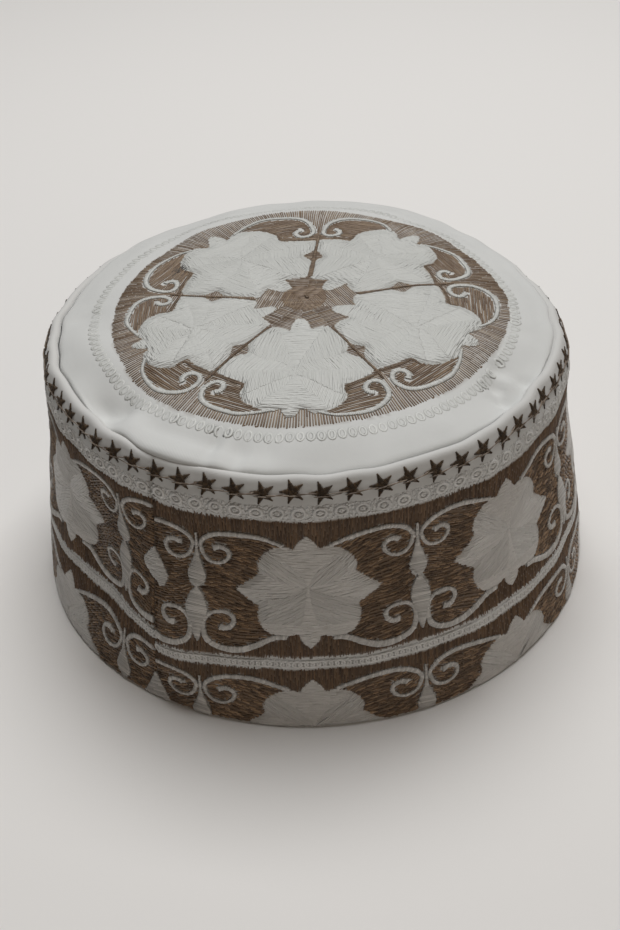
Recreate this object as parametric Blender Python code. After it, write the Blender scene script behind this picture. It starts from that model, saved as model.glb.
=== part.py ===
"""Prayer cap: a stiff flared side band with a rolled rim, and a domed crown panel sewn in under the rim.

Metres, +Z up. The bottom edge lies on z = 0 round the Z axis, and the front of the cap looks along -Y.
A bearing is an angle round the Z axis in degrees, 0 at the front and positive towards +X.
"""

import math
from collections import namedtuple

import bmesh
import bpy
from mathutils import Vector

MM = 0.001

# Driving sizes
HEAD_GIRTH = 572 * MM
BAND_WALL = 2.5 * MM
BAND_HEIGHT = 83 * MM
RIM_RADIUS = 81.5 * MM
CROWN_WALL = 1.6 * MM
CROWN_RISE = 11 * MM
BACK_RISE = 3.4 * MM
SEAM_GAP = 0.3 * MM

# Sizes that follow from them
BOTTOM_RADIUS = HEAD_GIRTH / (2 * math.pi) + BAND_WALL
CREASE_RADIUS = RIM_RADIUS - 4.6 * MM
LIP_UNDERSIDE = 1.2 * MM
CROWN_EDGE_RADIUS = CREASE_RADIUS - SEAM_GAP
TUCK_DROP = LIP_UNDERSIDE + SEAM_GAP
TUCK_WIDTH = 3 * MM
DOME_POWER = 0.48

# Facets
ROUND_STEPS = 72

# Outer face of the band: how far below the rim plane, and how far outside the straight flare
Section = namedtuple("Section", "drop stand")
BAND_SECTIONS = (
    Section(0.8 * MM, 0.2 * MM),
    Section(3.5 * MM, 0.9 * MM),
    Section(8 * MM, 1.1 * MM),
    Section(13 * MM, 0.4 * MM),
    Section(21 * MM, -0.5 * MM),
    Section(32 * MM, -0.6 * MM),
    Section(44 * MM, -0.2 * MM),
    Section(56 * MM, 0.1 * MM),
    Section(69 * MM, 0.2 * MM),
    Section(82.2 * MM, 0.0),
)

# Rolled rim, from its outer shoulder over the crest to the crease: radius inside the rim radius, and drop
RimPoint = namedtuple("RimPoint", "inset drop")
RIM_ROLL = (
    RimPoint(4.6 * MM, 0.7 * MM),
    RimPoint(4.5 * MM, -0.3 * MM),
    RimPoint(3.6 * MM, -1.25 * MM),
    RimPoint(2.3 * MM, -1.5 * MM),
    RimPoint(1.0 * MM, -1.2 * MM),
    RimPoint(0.15 * MM, -0.3 * MM),
)

# Soft dents and swells of the band: bearing and height of the middle, how far it moves out, and its spread
Dent = namedtuple("Dent", "bearing height out spread tall")
BAND_DENTS = (
    Dent(-51, 34 * MM, -4.8 * MM, 12, 24 * MM),
    Dent(-28, 28 * MM, 2.6 * MM, 8, 24 * MM),
    Dent(-56, 84 * MM, -1.2 * MM, 14, 16 * MM),
    Dent(54, 84 * MM, -1.2 * MM, 12, 16 * MM),
    Dent(116, 84 * MM, -2.8 * MM, 30, 44 * MM),
)
FOOT_HEIGHT = 14 * MM

# Hollows and swells of the crown: bearing and radius of the middle, how far it lifts, and its spread
Hollow = namedtuple("Hollow", "bearing radius lift spread across")
CROWN_HOLLOWS = (
    Hollow(-52, 71 * MM, -2.4 * MM, 13, 8 * MM),
    Hollow(52, 70 * MM, -2.4 * MM, 15, 9 * MM),
    Hollow(180, 58 * MM, 2.2 * MM, 46, 13 * MM),
)
CROWN_RINGS = (12 * MM, 25 * MM, 38 * MM, 49 * MM, 58 * MM, 65 * MM, 70 * MM, 73.6 * MM, 75.6 * MM, 76.4 * MM)

CLOTH_WHITE = (0.80, 0.79, 0.76, 1.0)
THREAD_BROWN = (0.10, 0.065, 0.04, 1.0)


def clear_scene():
    """An empty scene to build in."""
    for obj in list(bpy.data.objects):
        bpy.data.objects.remove(obj)


def cloth_material(name, colour, roughness):
    """A plain fabric surface."""
    material = bpy.data.materials.new(name)
    material.use_nodes = True
    surface = material.node_tree.nodes["Principled BSDF"]
    surface.inputs["Base Color"].default_value = colour
    surface.inputs["Roughness"].default_value = roughness
    surface.inputs["Metallic"].default_value = 0.0
    return material


def bell(distance, spread):
    """1 in the middle, falling smoothly to 0 a little past the spread."""
    return math.exp(-((distance / spread) ** 2))


def bearing_gap(bearing, middle):
    """Angle between two bearings, from -180 to 180 degrees."""
    return (bearing - middle + 180) % 360 - 180


def flare_radius(drop):
    """Outer radius of the straight flare at a distance below the rim plane."""
    return RIM_RADIUS + (BOTTOM_RADIUS - RIM_RADIUS) * drop / BAND_HEIGHT


def band_shift(bearing, height):
    """How far the band's dents and swells move it outwards. Its foot stays round."""
    foot = 1 - bell(max(height, 0), FOOT_HEIGHT)
    return foot * sum(
        dent.out * bell(bearing_gap(bearing, dent.bearing), dent.spread) * bell(height - dent.height, dent.tall)
        for dent in BAND_DENTS
    )


def settle(mesh):
    """Moves a turned shape's points into the worn cap's form: the dents, and the rim that stands higher at the back."""
    for vert in mesh.verts:
        radius = math.hypot(vert.co.x, vert.co.y)
        bearing = math.degrees(math.atan2(vert.co.x, -vert.co.y))
        reach = min(radius / CREASE_RADIUS, 1) ** 3
        grown = radius + reach * band_shift(bearing, vert.co.z)
        scale = grown / radius if radius else 1
        vert.co.x *= scale
        vert.co.y *= scale
        rise = BACK_RISE * (1 + vert.co.y / RIM_RADIUS) / 2
        vert.co.z *= 1 + rise / BAND_HEIGHT


def turned_solid(profile, closed_loop):
    """A mesh made by turning (radius, height) points about the Z axis."""
    mesh = bmesh.new()
    points = [mesh.verts.new((radius, 0, height)) for radius, height in profile]
    for start, end in zip(points, points[1:]):
        mesh.edges.new((start, end))
    if closed_loop:
        mesh.edges.new((points[-1], points[0]))
    bmesh.ops.spin(
        mesh,
        geom=list(mesh.verts) + list(mesh.edges),
        cent=(0, 0, 0),
        axis=(0, 0, 1),
        angle=2 * math.pi,
        steps=ROUND_STEPS,
        use_merge=True,
    )
    bmesh.ops.remove_doubles(mesh, verts=mesh.verts, dist=1e-6)
    return mesh


def finished_piece(name, mesh, material):
    """Turns a bmesh into a smooth-shaded object with its faces pointing out."""
    bmesh.ops.recalc_face_normals(mesh, faces=mesh.faces)
    bmesh.ops.triangulate(mesh, faces=mesh.faces)
    data = bpy.data.meshes.new(name)
    mesh.to_mesh(data)
    mesh.free()
    data.materials.append(material)
    data.shade_smooth()
    data.set_sharp_from_angle(angle=math.radians(50))
    piece = bpy.data.objects.new(name, data)
    bpy.context.scene.collection.objects.link(piece)
    return piece


def band_profile():
    """Closed outline of the band's wall: up the inside, over the rolled rim and down the outside."""
    hem_round = 0.6 * MM
    lip_root = CREASE_RADIUS + 3.6 * MM
    inner = [
        (flare_radius(section.drop) + section.stand - BAND_WALL, BAND_HEIGHT - section.drop)
        for section in BAND_SECTIONS[1:]
    ]
    outer = [
        (flare_radius(section.drop) + section.stand, BAND_HEIGHT - section.drop) for section in BAND_SECTIONS
    ]
    lip = [
        (lip_root, BAND_HEIGHT - LIP_UNDERSIDE - 0.5 * MM),
        (lip_root - 0.4 * MM, BAND_HEIGHT - LIP_UNDERSIDE),
        (CREASE_RADIUS + 0.4 * MM, BAND_HEIGHT - LIP_UNDERSIDE),
    ]
    roll = [(RIM_RADIUS - point.inset, BAND_HEIGHT - point.drop) for point in RIM_ROLL]
    hem = [(BOTTOM_RADIUS - hem_round, 0), (BOTTOM_RADIUS - BAND_WALL + hem_round, 0)]
    return inner[::-1] + lip + roll + outer + hem


def crown_height(radius, bearing):
    """Height of the crown's upper face before the cap settles."""
    inside = max(1 - (radius / CROWN_EDGE_RADIUS) ** 2, 0)
    dome = CROWN_RISE * inside**DOME_POWER
    soft = sum(
        hollow.lift * bell(bearing_gap(bearing, hollow.bearing), hollow.spread) * bell(radius - hollow.radius, hollow.across)
        for hollow in CROWN_HOLLOWS
    )
    fade = min(inside * 12, 1)
    return BAND_HEIGHT - TUCK_DROP + dome + soft * fade


def crown_profile():
    """Open outline of the crown's wall from its middle out over the top, round the tucked edge and back below."""
    tuck_radius = CROWN_EDGE_RADIUS + TUCK_WIDTH
    tuck_top = BAND_HEIGHT - TUCK_DROP
    radii = (0,) + CROWN_RINGS
    top = [(radius, crown_height(radius, 0)) for radius in radii]
    tuck = [
        (CROWN_EDGE_RADIUS, tuck_top),
        (tuck_radius, tuck_top),
        (tuck_radius, tuck_top - CROWN_WALL),
        (CROWN_EDGE_RADIUS - CROWN_WALL, tuck_top - CROWN_WALL),
    ]
    under = [(radius, crown_height(radius, 0) - CROWN_WALL) for radius in radii[-4::-2]]
    return top + tuck + under + [(0, crown_height(0, 0) - CROWN_WALL)]


def make_side_band(material):
    """The stiff strip that goes round the head, with its rolled rim and its turned bottom edge."""
    mesh = turned_solid(band_profile(), closed_loop=True)
    settle(mesh)
    return finished_piece("side_band", mesh, material)


def make_crown_panel(material):
    """The round top, puffed up inside the rim, with its edge tucked under the rim's lip."""
    mesh = turned_solid(crown_profile(), closed_loop=False)
    for vert in mesh.verts:
        radius = math.hypot(vert.co.x, vert.co.y)
        if radius < CROWN_EDGE_RADIUS:
            bearing = math.degrees(math.atan2(vert.co.x, -vert.co.y))
            vert.co.z += crown_height(radius, bearing) - crown_height(radius, 0)
    settle(mesh)
    return finished_piece("crown_panel", mesh, material)


def main():
    """Builds the cap's two cloth pieces."""
    clear_scene()
    make_side_band(cloth_material("embroidered_cotton", THREAD_BROWN, 0.85))
    make_crown_panel(cloth_material("white_cotton", CLOTH_WHITE, 0.9))


main()
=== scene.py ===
"""Prayer cap: the looks of the two cloth pieces and their embroidery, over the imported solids.

Metres, +Z up, the bottom edge on z = 0 and the front along -Y. Charts are in millimetres, and bearings are
in degrees, 0 at the front.
"""

import logging
import math
from dataclasses import dataclass, field, replace
from enum import Enum, IntEnum
from functools import cached_property
from typing import Callable, NamedTuple

import bmesh
import bpy
import numpy as np
from mathutils import Matrix, Vector


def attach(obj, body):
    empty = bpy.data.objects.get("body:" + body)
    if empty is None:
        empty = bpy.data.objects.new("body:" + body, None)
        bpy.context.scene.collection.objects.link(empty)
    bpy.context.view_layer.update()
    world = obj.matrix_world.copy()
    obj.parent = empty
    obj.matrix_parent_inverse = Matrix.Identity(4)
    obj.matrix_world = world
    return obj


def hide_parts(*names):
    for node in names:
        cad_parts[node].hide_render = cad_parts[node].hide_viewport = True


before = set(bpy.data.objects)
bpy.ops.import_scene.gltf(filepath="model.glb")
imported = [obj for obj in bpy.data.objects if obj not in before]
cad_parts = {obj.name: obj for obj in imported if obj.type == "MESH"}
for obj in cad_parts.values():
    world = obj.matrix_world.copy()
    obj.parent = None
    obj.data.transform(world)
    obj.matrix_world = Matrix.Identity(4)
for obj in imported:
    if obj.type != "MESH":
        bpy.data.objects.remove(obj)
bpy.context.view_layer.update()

MM = 0.001
BODY = "root"
SEAM_BEARING = -32.6
LOG = logging.getLogger("prayer_cap")


class Slot(Enum):
    """The record's material slots."""

    EMBROIDERED = "embroidered_cotton"
    WHITE = "white_cotton"


class Zone(IntEnum):
    """What a spot of a chart carries. Crown zones add a number for the sector or petal."""

    PLAIN = 0
    OUTER = 1
    FIELD = 2
    CREAM = 3
    PETAL = 4
    LINE = 5
    CROWN_FIELD = 200
    CROWN_ARM = 300
    CROWN_PETAL = 400


class Section(NamedTuple):
    """A height of the band's outer face: how far below the rim plane, and how far outside the flare."""

    drop: float
    stand: float


class RimPoint(NamedTuple):
    """A point of the rolled rim: distance inside the rim radius, and distance below the rim plane."""

    inset: float
    drop: float


class Dent(NamedTuple):
    """A soft dent or swell of the band: where its middle is, how far it moves out, and its spread."""

    bearing: float
    height: float
    out: float
    spread: float
    tall: float


class Hollow(NamedTuple):
    """A soft hollow or fold of the crown: where its middle is, how far it lifts, and its spread."""

    bearing: float
    radius: float
    lift: float
    spread: float
    across: float


class Ray(NamedTuple):
    """A line between two flowers of the medallion: bearings near the middle and outside, and three radii."""

    inner: float
    outer: float
    diamond: float
    junction: float
    edge: float


class Wave(NamedTuple):
    """A ripple round the cap: how many there are, their twist with height or radius, phase and height."""

    count: int
    twist: float = 0.0
    phase: float = 0.0
    height: float = 1.0


SIDE_PETAL_EDGES = ((15, 42), (88, 71), (130, 110), (176, 170))
SIDE_PETAL_ANGLES = (0, -42, -12, 28, -6, -32, -4, 38)
CROWN_PETAL_EDGES = ((9, 18), (18, 54), (75, 82), (112, 118), (165, 143))
CROWN_PETAL_ANGLES = (0, -76, -56, -88, -102, 0, 102, 88, 56, 76)
PETAL_LENGTH = 12
# Painted sheen: each petal's thread tone is raised and lowered by these amounts, standing in for how satin
# stitches that run different ways catch the light.
PAINTED_PETAL_SHEEN = (0.1, -0.05, 0.06, -0.1, 0.12, 0.05)
PETAL_STEPS = (0.0, 0.014, 0.005, 0.016, 0.0, 0.012)
ARM_SLANTS = (-10, 6, -4, 15, 0)
BAND_SECTIONS = (
    Section(0.8, 0.2), Section(3.5, 0.9), Section(8, 1.1), Section(13, 0.4), Section(21, -0.5),
    Section(32, -0.6), Section(44, -0.2), Section(56, 0.1), Section(69, 0.2), Section(82.2, 0),
)
RIM_ROLL = (
    RimPoint(3.3, 0.5), RimPoint(3.25, -0.3), RimPoint(2.7, -1.0), RimPoint(1.8, -1.35),
    RimPoint(0.85, -1.1), RimPoint(0.15, -0.3),
)
BAND_DENTS = (
    Dent(-51, 34, -4.8, 12, 24), Dent(-28, 28, 2.6, 8, 24), Dent(-56, 84, -1.2, 14, 16),
    Dent(54, 84, -1.2, 12, 16), Dent(116, 84, -4.2, 30, 44),
)
CROWN_HOLLOWS = (
    Hollow(-52, 71, -2.4, 13, 8), Hollow(52, 70, -2.4, 15, 9), Hollow(180, 58, 2.2, 46, 13),
)
CROWN_CREASES = (
    Hollow(-22, 71, -0.9, 1.2, 4.5), Hollow(-19.5, 72, 0.8, 1.2, 4), Hollow(-15.5, 73, -0.8, 1.3, 4),
    Hollow(-53.5, 74.5, -2.6, 4.6, 3.4), Hollow(-49, 70.5, -1.5, 2.2, 3.2), Hollow(-43.5, 73, 1.3, 3.5, 4),
    Hollow(-62, 66, 0.8, 5, 5), Hollow(57.5, 66.5, -1.2, 2.0, 2.8), Hollow(51.8, 69.5, -2.0, 1.9, 2.8),
    Hollow(48.8, 73.5, -1.9, 1.9, 3), Hollow(54.5, 72.5, 1.5, 2.2, 3), Hollow(58, 75.5, -1.0, 1.6, 2.4),
    Hollow(-28, 75.6, 2.3, 15, 2.6), Hollow(176, 73.5, 1.0, 66, 5.5), Hollow(-92, 70, -0.7, 2.4, 5),
    Hollow(-34, 64, 0.35, 2, 5), Hollow(-9, 71, -0.4, 1.6, 4), Hollow(31, 72, 0.35, 3, 4),
    Hollow(74, 68, -0.5, 3, 5),
)
BAND_WAVES = (Wave(17, 0.21), Wave(29, -0.16, 1.3), Wave(8, 0, 2))
RIM_WAVES = (Wave(23, 0, 1), Wave(37))
CROWN_WAVES = (Wave(9, 0.2), Wave(5, -0.17), Wave(14, 0.3, 0, 0.6))
MEDALLION_RAYS = (
    Ray(-99.5, -101.2, 28.3, 46.5, 59.8), Ray(-40.2, -36.8, 31.4, 52.9, 63.5),
    Ray(28.0, 26.6, 31.0, 51.8, 62.2), Ray(101.7, 98.5, 31.0, 50.2, 65.0),
    Ray(171.8, 171.7, 27.9, 45.8, 60.5),
)
IDEAL_RAY = Ray(0, 0, 31.0, 51.0, 62.4)


def linked(name: str, data: bpy.types.ID) -> bpy.types.Object:
    """A new object in the scene.

    Args:
        name: Its name.
        data: Its mesh, light or camera.

    Returns:
        The object.
    """
    made = bpy.data.objects.new(name, data)
    bpy.context.scene.collection.objects.link(made)
    return made


def bell(distance: np.ndarray, spread: float) -> np.ndarray:
    """1 in the middle, falling smoothly to 0 a little past the spread."""
    return np.exp(-((distance / spread) ** 2))


def eased(share: np.ndarray) -> np.ndarray:
    """A share from 0 to 1 that starts and ends gently."""
    share = np.clip(share, 0, 1)
    return share * share * (3 - 2 * share)


def bearing_gap(bearing: np.ndarray, middle: float) -> np.ndarray:
    """Angle between bearings, from -180 to 180 degrees."""
    return (bearing - middle + 180) % 360 - 180


def past_seam(bearing: np.ndarray) -> np.ndarray:
    """Degrees from the nearer end of the band's chart, both of which lie at the seam."""
    return np.minimum(bearing - SEAM_BEARING, SEAM_BEARING + 360 - bearing)


def rippled(waves: tuple[Wave, ...], bearing: np.ndarray, along: np.ndarray) -> np.ndarray:
    """Height of several ripples at bearings, and at heights or radii."""
    turn = np.radians(bearing)
    return sum(wave.height * np.sin(wave.count * turn + along * wave.twist + wave.phase) for wave in waves)


def smooth_path(points: np.ndarray, step: float) -> np.ndarray:
    """A smooth curve through points, with its own points evenly spaced.

    Args:
        points: Array of shape (n, d), the points that the curve passes through.
        step: Distance between the curve's points.

    Returns:
        Array of shape (m, d).
    """
    knots = np.vstack([2 * points[0] - points[1], points, 2 * points[-1] - points[-2]])
    fine = []
    share = np.linspace(0, 1, 12, endpoint=False)[:, None]
    for before, start, end, after in zip(knots, knots[1:], knots[2:], knots[3:]):
        fine.append(
            0.5 * (2 * start + (end - before) * share + (2 * before - 5 * start + 4 * end - after) * share**2
                   + (3 * start - before - 3 * end + after) * share**3)
        )
    curve = np.vstack(fine + [points[-1:]])
    along = np.concatenate([[0], np.cumsum(np.hypot(*np.diff(curve, axis=0).T[:2]))])
    marks = np.linspace(0, along[-1], max(int(along[-1] / step), 2) + 1)
    return np.stack([np.interp(marks, along, column) for column in curve.T], axis=1)


@dataclass(frozen=True)
class CapForm:
    """The worn cap's form, in millimetres: where each point of the band and the crown lies."""

    head_girth: float = 572
    band_wall: float = 2.5
    band_height: float = 83
    rim_radius: float = 81.5
    crown_wall: float = 1.6
    crown_rise: float = 10.4
    back_rise: float = 3.4
    seam_gap: float = 0.3
    lip_underside: float = 1.2
    rim_inset: float = 3.3
    lip_reach: float = 2.3
    dome_power: float = 0.66
    foot_height: float = 14
    tuck_width: float = 1.7
    pucker: float = 0.16
    rim_depth: float = 3.5
    crown_ripple: float = 0.2
    ripple_radius: float = 60
    edge_fade: float = 22
    edge_puff: float = 0.9
    edge_roll: float = 0.4
    back_fill: float = 1.1
    fill_radius: float = 40
    fill_spread: float = 75
    edge_push: float = 0.1
    puff_push: float = 4.0
    puff_bearing: float = -29
    puff_spread: float = 17
    back_push: float = 3.4
    back_bearing: float = 152
    back_spread: float = 85
    push_inset: float = 1.6
    push_width: float = 1.5
    skin_step: float = 0.2

    @property
    def bottom_radius(self) -> float:
        """Outer radius at the bottom edge."""
        return self.head_girth / (2 * math.pi) + self.band_wall

    @property
    def crease_radius(self) -> float:
        """Radius of the crease where the rim's lip meets the crown."""
        return self.rim_radius - self.rim_inset

    @property
    def crown_edge(self) -> float:
        """Radius at which the crown slips under the lip."""
        return self.crease_radius - self.seam_gap

    @property
    def tuck_drop(self) -> float:
        """Distance of the tucked edge below the rim plane."""
        return self.lip_underside + self.seam_gap

    def flare(self, drop: np.ndarray) -> np.ndarray:
        """Outer radius of the straight flare at a distance below the rim plane."""
        return self.rim_radius + (self.bottom_radius - self.rim_radius) * drop / self.band_height

    @cached_property
    def skin(self) -> np.ndarray:
        """Outer face of the band as a fine table: distance along it (the drop on the wall), radius, drop.

        Returns:
            Rows of these three, in order of the distance.
        """
        wall = [(part.drop, self.flare(part.drop) + part.stand, part.drop) for part in BAND_SECTIONS]
        wall.append((self.band_height + 3, self.flare(self.band_height), self.band_height))
        rows = [wall[0]]
        for point in RIM_ROLL[::-1]:
            last = rows[0]
            radius = self.rim_radius - point.inset
            rows.insert(0, (last[0] - math.hypot(radius - last[1], point.drop - last[2]), radius, point.drop))
        curve = smooth_path(np.array(rows + wall[1:]), self.skin_step)
        return curve[np.argsort(curve[:, 0])]

    def shift(self, bearing: np.ndarray, height: np.ndarray) -> np.ndarray:
        """How far dents, swells and the needlework's light puckers move the band outwards.

        Args:
            bearing: Bearings.
            height: Heights before the cap settles.

        Returns:
            Distances outwards.
        """
        foot = 1 - bell(np.maximum(height, 0), self.foot_height)
        dents = sum(
            dent.out * bell(bearing_gap(bearing, dent.bearing), dent.spread)
            * bell(height - dent.height, dent.tall)
            for dent in BAND_DENTS
        )
        rim = rippled(RIM_WAVES, bearing, height) * bell(height - self.band_height, self.rim_depth)
        return foot * (dents + self.pucker * (rippled(BAND_WAVES, bearing, height) + rim))

    def settle(self, radius: np.ndarray, height: np.ndarray, bearing: np.ndarray) -> np.ndarray:
        """Moves points of the turned form into the worn cap's form.

        Args:
            radius: Radii of the turned form.
            height: Heights of the turned form.
            bearing: Bearings in degrees.

        Returns:
            Array of points whose last axis is x, y, z.
        """
        reach = np.minimum(radius / self.crease_radius, 1) ** 3
        grown = radius + reach * self.shift(bearing, height)
        turn = np.radians(bearing)
        x, y = grown * np.sin(turn), -grown * np.cos(turn)
        rise = self.back_rise * (1 + y / self.rim_radius) / 2
        return np.stack([x, y, height * (1 + rise / self.band_height)], axis=-1)

    def band(self, bearing: np.ndarray, drop: np.ndarray) -> np.ndarray:
        """Points of the band's outer face.

        Args:
            bearing: Bearings.
            drop: Distances along the face from the rim plane down.

        Returns:
            Array whose last axis is x, y, z.
        """
        table = self.skin
        radius = np.interp(drop, table[:, 0], table[:, 1])
        height = self.band_height - np.interp(drop, table[:, 0], table[:, 2])
        return self.settle(radius, height, bearing)

    def crown_height(self, radius: np.ndarray, bearing: np.ndarray) -> np.ndarray:
        """Height of the crown's upper face before the cap settles.

        Args:
            radius: Radii.
            bearing: Bearings.

        Returns:
            Heights.
        """
        inside = np.maximum(1 - (radius / self.crown_edge) ** 2, 0)
        soft = sum(
            hollow.lift * bell(bearing_gap(bearing, hollow.bearing), hollow.spread)
            * bell(radius - hollow.radius, hollow.across)
            for hollow in CROWN_HOLLOWS + CROWN_CREASES
        )
        ripple = self.crown_ripple * rippled(CROWN_WAVES, bearing, radius) * radius / self.ripple_radius
        soft = (soft + ripple) * np.minimum(inside * self.edge_fade, 1)
        behind = 1 - bell(bearing_gap(bearing, 0), self.fill_spread)
        fill = self.edge_puff + self.back_fill * eased(radius / self.fill_radius) * behind
        puff = fill * (1 - np.exp(-np.maximum(self.crown_edge - radius, 0) / self.edge_roll))
        return self.band_height - self.tuck_drop + self.crown_rise * inside**self.dome_power + soft + puff

    def crown(self, x: np.ndarray, y: np.ndarray) -> np.ndarray:
        """Points of the crown's upper face.

        Args:
            x: Coordinates across the cap.
            y: Coordinates from front to back.

        Returns:
            Array whose last axis is x, y, z.
        """
        radius = np.hypot(x, y)
        bearing = np.degrees(np.arctan2(x, -y))
        grown = radius + self.overhang(radius, bearing)
        return self.settle(grown, self.crown_height(radius, bearing), bearing)

    def overhang(self, radius: np.ndarray, bearing: np.ndarray) -> np.ndarray:
        """How far the puffed crown hangs out towards the rim near its edge.

        Args:
            radius: Radii.
            bearing: Bearings.

        Returns:
            Distances outwards.
        """
        puffed = self.puff_push * bell(bearing_gap(bearing, self.puff_bearing), self.puff_spread)
        behind = self.back_push * bell(bearing_gap(bearing, self.back_bearing), self.back_spread)
        near = bell(radius - (self.crown_edge - self.push_inset), self.push_width)
        return (self.edge_push + puffed + behind) * near


@dataclass(frozen=True)
class Cloth:
    """A chart laid on a face of the cap: it turns chart points into points and outward directions."""

    place: Callable[[np.ndarray, np.ndarray], np.ndarray]
    mirrored: bool = False
    probe: float = 0.3

    def lay(self, chart: np.ndarray) -> tuple[np.ndarray, np.ndarray]:
        """Points and outward directions.

        Args:
            chart: Array whose last axis is the chart's two coordinates.

        Returns:
            The points and the unit directions that point out of the cloth, both in space.
        """
        a, b = chart[..., 0], chart[..., 1]
        along = self.place(a + self.probe, b) - self.place(a - self.probe, b)
        across = self.place(a, b + self.probe) - self.place(a, b - self.probe)
        out = np.cross(across, along) if self.mirrored else np.cross(along, across)
        return self.place(a, b), out / np.linalg.norm(out, axis=-1, keepdims=True)


# Shader building


class Signal:
    """A shader socket whose values can be added and multiplied."""

    def __init__(self, shader: "Shader", socket: bpy.types.NodeSocket) -> None:
        """Keeps the socket and the shader that it belongs to."""
        self.shader = shader
        self.socket = socket

    def _math(self, operation: str, first: object, second: object = 0.0) -> "Signal":
        """A Math node on two values or signals."""
        node = self.shader.node("ShaderNodeMath", {"operation": operation}, {0: first, 1: second})
        return Signal(self.shader, node.outputs[0])

    def __add__(self, other: object) -> "Signal":
        """self + other."""
        return self._math("ADD", self, other)

    __radd__ = __add__

    def __mul__(self, other: object) -> "Signal":
        """self * other."""
        return self._math("MULTIPLY", self, other)

    __rmul__ = __mul__

    def sine(self) -> "Signal":
        """Sine of the value, in radians."""
        return self._math("SINE", self)


class Shader:
    """One material and the nodes that feed its surface."""

    def __init__(self, name: str) -> None:
        """Starts a material that holds one Principled surface.

        Args:
            name: The material's name.
        """
        self.material = bpy.data.materials.new(name)
        self.material.use_nodes = True
        self.tree = self.material.node_tree
        self.surface = self.tree.nodes["Principled BSDF"]

    def node(self, kind: str, settings: dict | None = None, sockets: dict | None = None) -> bpy.types.Node:
        """Adds a node.

        Args:
            kind: The node's type.
            settings: Its properties, set before its sockets.
            sockets: Values or signals by socket name or number.

        Returns:
            The node.
        """
        made = self.tree.nodes.new(kind)
        for key, value in (settings or {}).items():
            setattr(made, key, value)
        for key, value in (sockets or {}).items():
            self.feed(made.inputs[key], value)
        return made

    def feed(self, socket: bpy.types.NodeSocket, value: object) -> None:
        """Links a signal to a socket, or sets its value.

        Args:
            socket: The socket.
            value: The signal or the value.
        """
        if isinstance(value, Signal):
            self.tree.links.new(value.socket, socket)
        else:
            socket.default_value = value

    def signal(
        self, kind: str, output: str, settings: dict | None = None, sockets: dict | None = None
    ) -> Signal:
        """Adds a node and gives one of its outputs."""
        return Signal(self, self.node(kind, settings, sockets).outputs[output])

    def mixed(self, share: object, first: object, second: object) -> Signal:
        """A colour between two colours."""
        node = self.node("ShaderNodeMix", {"data_type": "RGBA"}, {0: share, 6: first, 7: second})
        return Signal(self, node.outputs[2])

    def noise(self, scale: float, detail: float = 2.0) -> Signal:
        """Noise on the object's own coordinates, from 0 to 1.

        Args:
            scale: How fine it is.
            detail: How many finer layers it has.

        Returns:
            Its value.
        """
        where = self.signal("ShaderNodeTexCoord", "Object")
        sockets = {"Vector": where, "Scale": scale, "Detail": detail}
        return self.signal("ShaderNodeTexNoise", "Fac", None, sockets)

    def bump(self, strength: float, depth: float, height: Signal) -> Signal:
        """A surface direction that follows a height."""
        sockets = {"Strength": strength, "Distance": depth, "Height": height}
        return self.signal("ShaderNodeBump", "Normal", None, sockets)

    def chart(self, name: str) -> tuple[Signal, Signal]:
        """Both coordinates of one of the piece's UV maps.

        Args:
            name: The map's name.

        Returns:
            The first and the second coordinate.
        """
        where = self.signal("ShaderNodeUVMap", "UV", {"uv_map": name})
        parts = self.node("ShaderNodeSeparateXYZ", None, {0: where})
        return Signal(self, parts.outputs[0]), Signal(self, parts.outputs[1])

    def finish(self, **sockets: object) -> bpy.types.Material:
        """Feeds the surface's sockets, whose names are written with _ for spaces.

        Args:
            sockets: Signal or value by socket name.

        Returns:
            The material.
        """
        for key, value in sockets.items():
            self.feed(self.surface.inputs[key.replace("_", " ")], value)
        return self.material


@dataclass(frozen=True)
class CottonFinish:
    """White plain-weave cotton, brown where underlay lies under the embroidered grounds, with painted shade
    between their stitches and a painted shadow along the seam.
    """

    name: str
    white: tuple = (0.63, 0.635, 0.62, 1)
    grey: tuple = (0.56, 0.565, 0.55, 1)
    # Brown of the underlay under the grounds, also standing for painted shade between their stitches and a
    # painted shadow along the seam.
    under: tuple = (0.15, 0.10, 0.06, 1)
    thread_pitch: float = 0.42
    weave_depth: float = 0.00006

    def material(self) -> bpy.types.Material:
        """The cloth's material. It reads the piece's chart UV in millimetres and its share of brown underlay
        and painted shade.

        Returns:
            The material.
        """
        shader = Shader(self.name)
        along, across = shader.chart("chart")
        turn = 2 * math.pi / self.thread_pitch
        warp, weft = (along * turn).sine(), (across * turn).sine()
        # Share of brown underlay, with painted shade, from the piece's attribute.
        underlay_and_shade = shader.signal("ShaderNodeAttribute", "Fac", {"attribute_name": "underlay_and_shade"})
        cloth = shader.mixed(shader.noise(60, 4), self.white, self.grey)
        colour = shader.mixed(underlay_and_shade, cloth, self.under)
        height = warp * weft * 0.5 + shader.noise(900) * 0.8
        bump = shader.bump(0.5, self.weave_depth, height)
        surface = shader.surface.inputs
        surface["Sheen Weight"].default_value = 0.25
        surface["Sheen Roughness"].default_value = 0.5
        return shader.finish(Base_Color=colour, Roughness=0.74 + shader.noise(300) * 0.2, Normal=bump)


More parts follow.
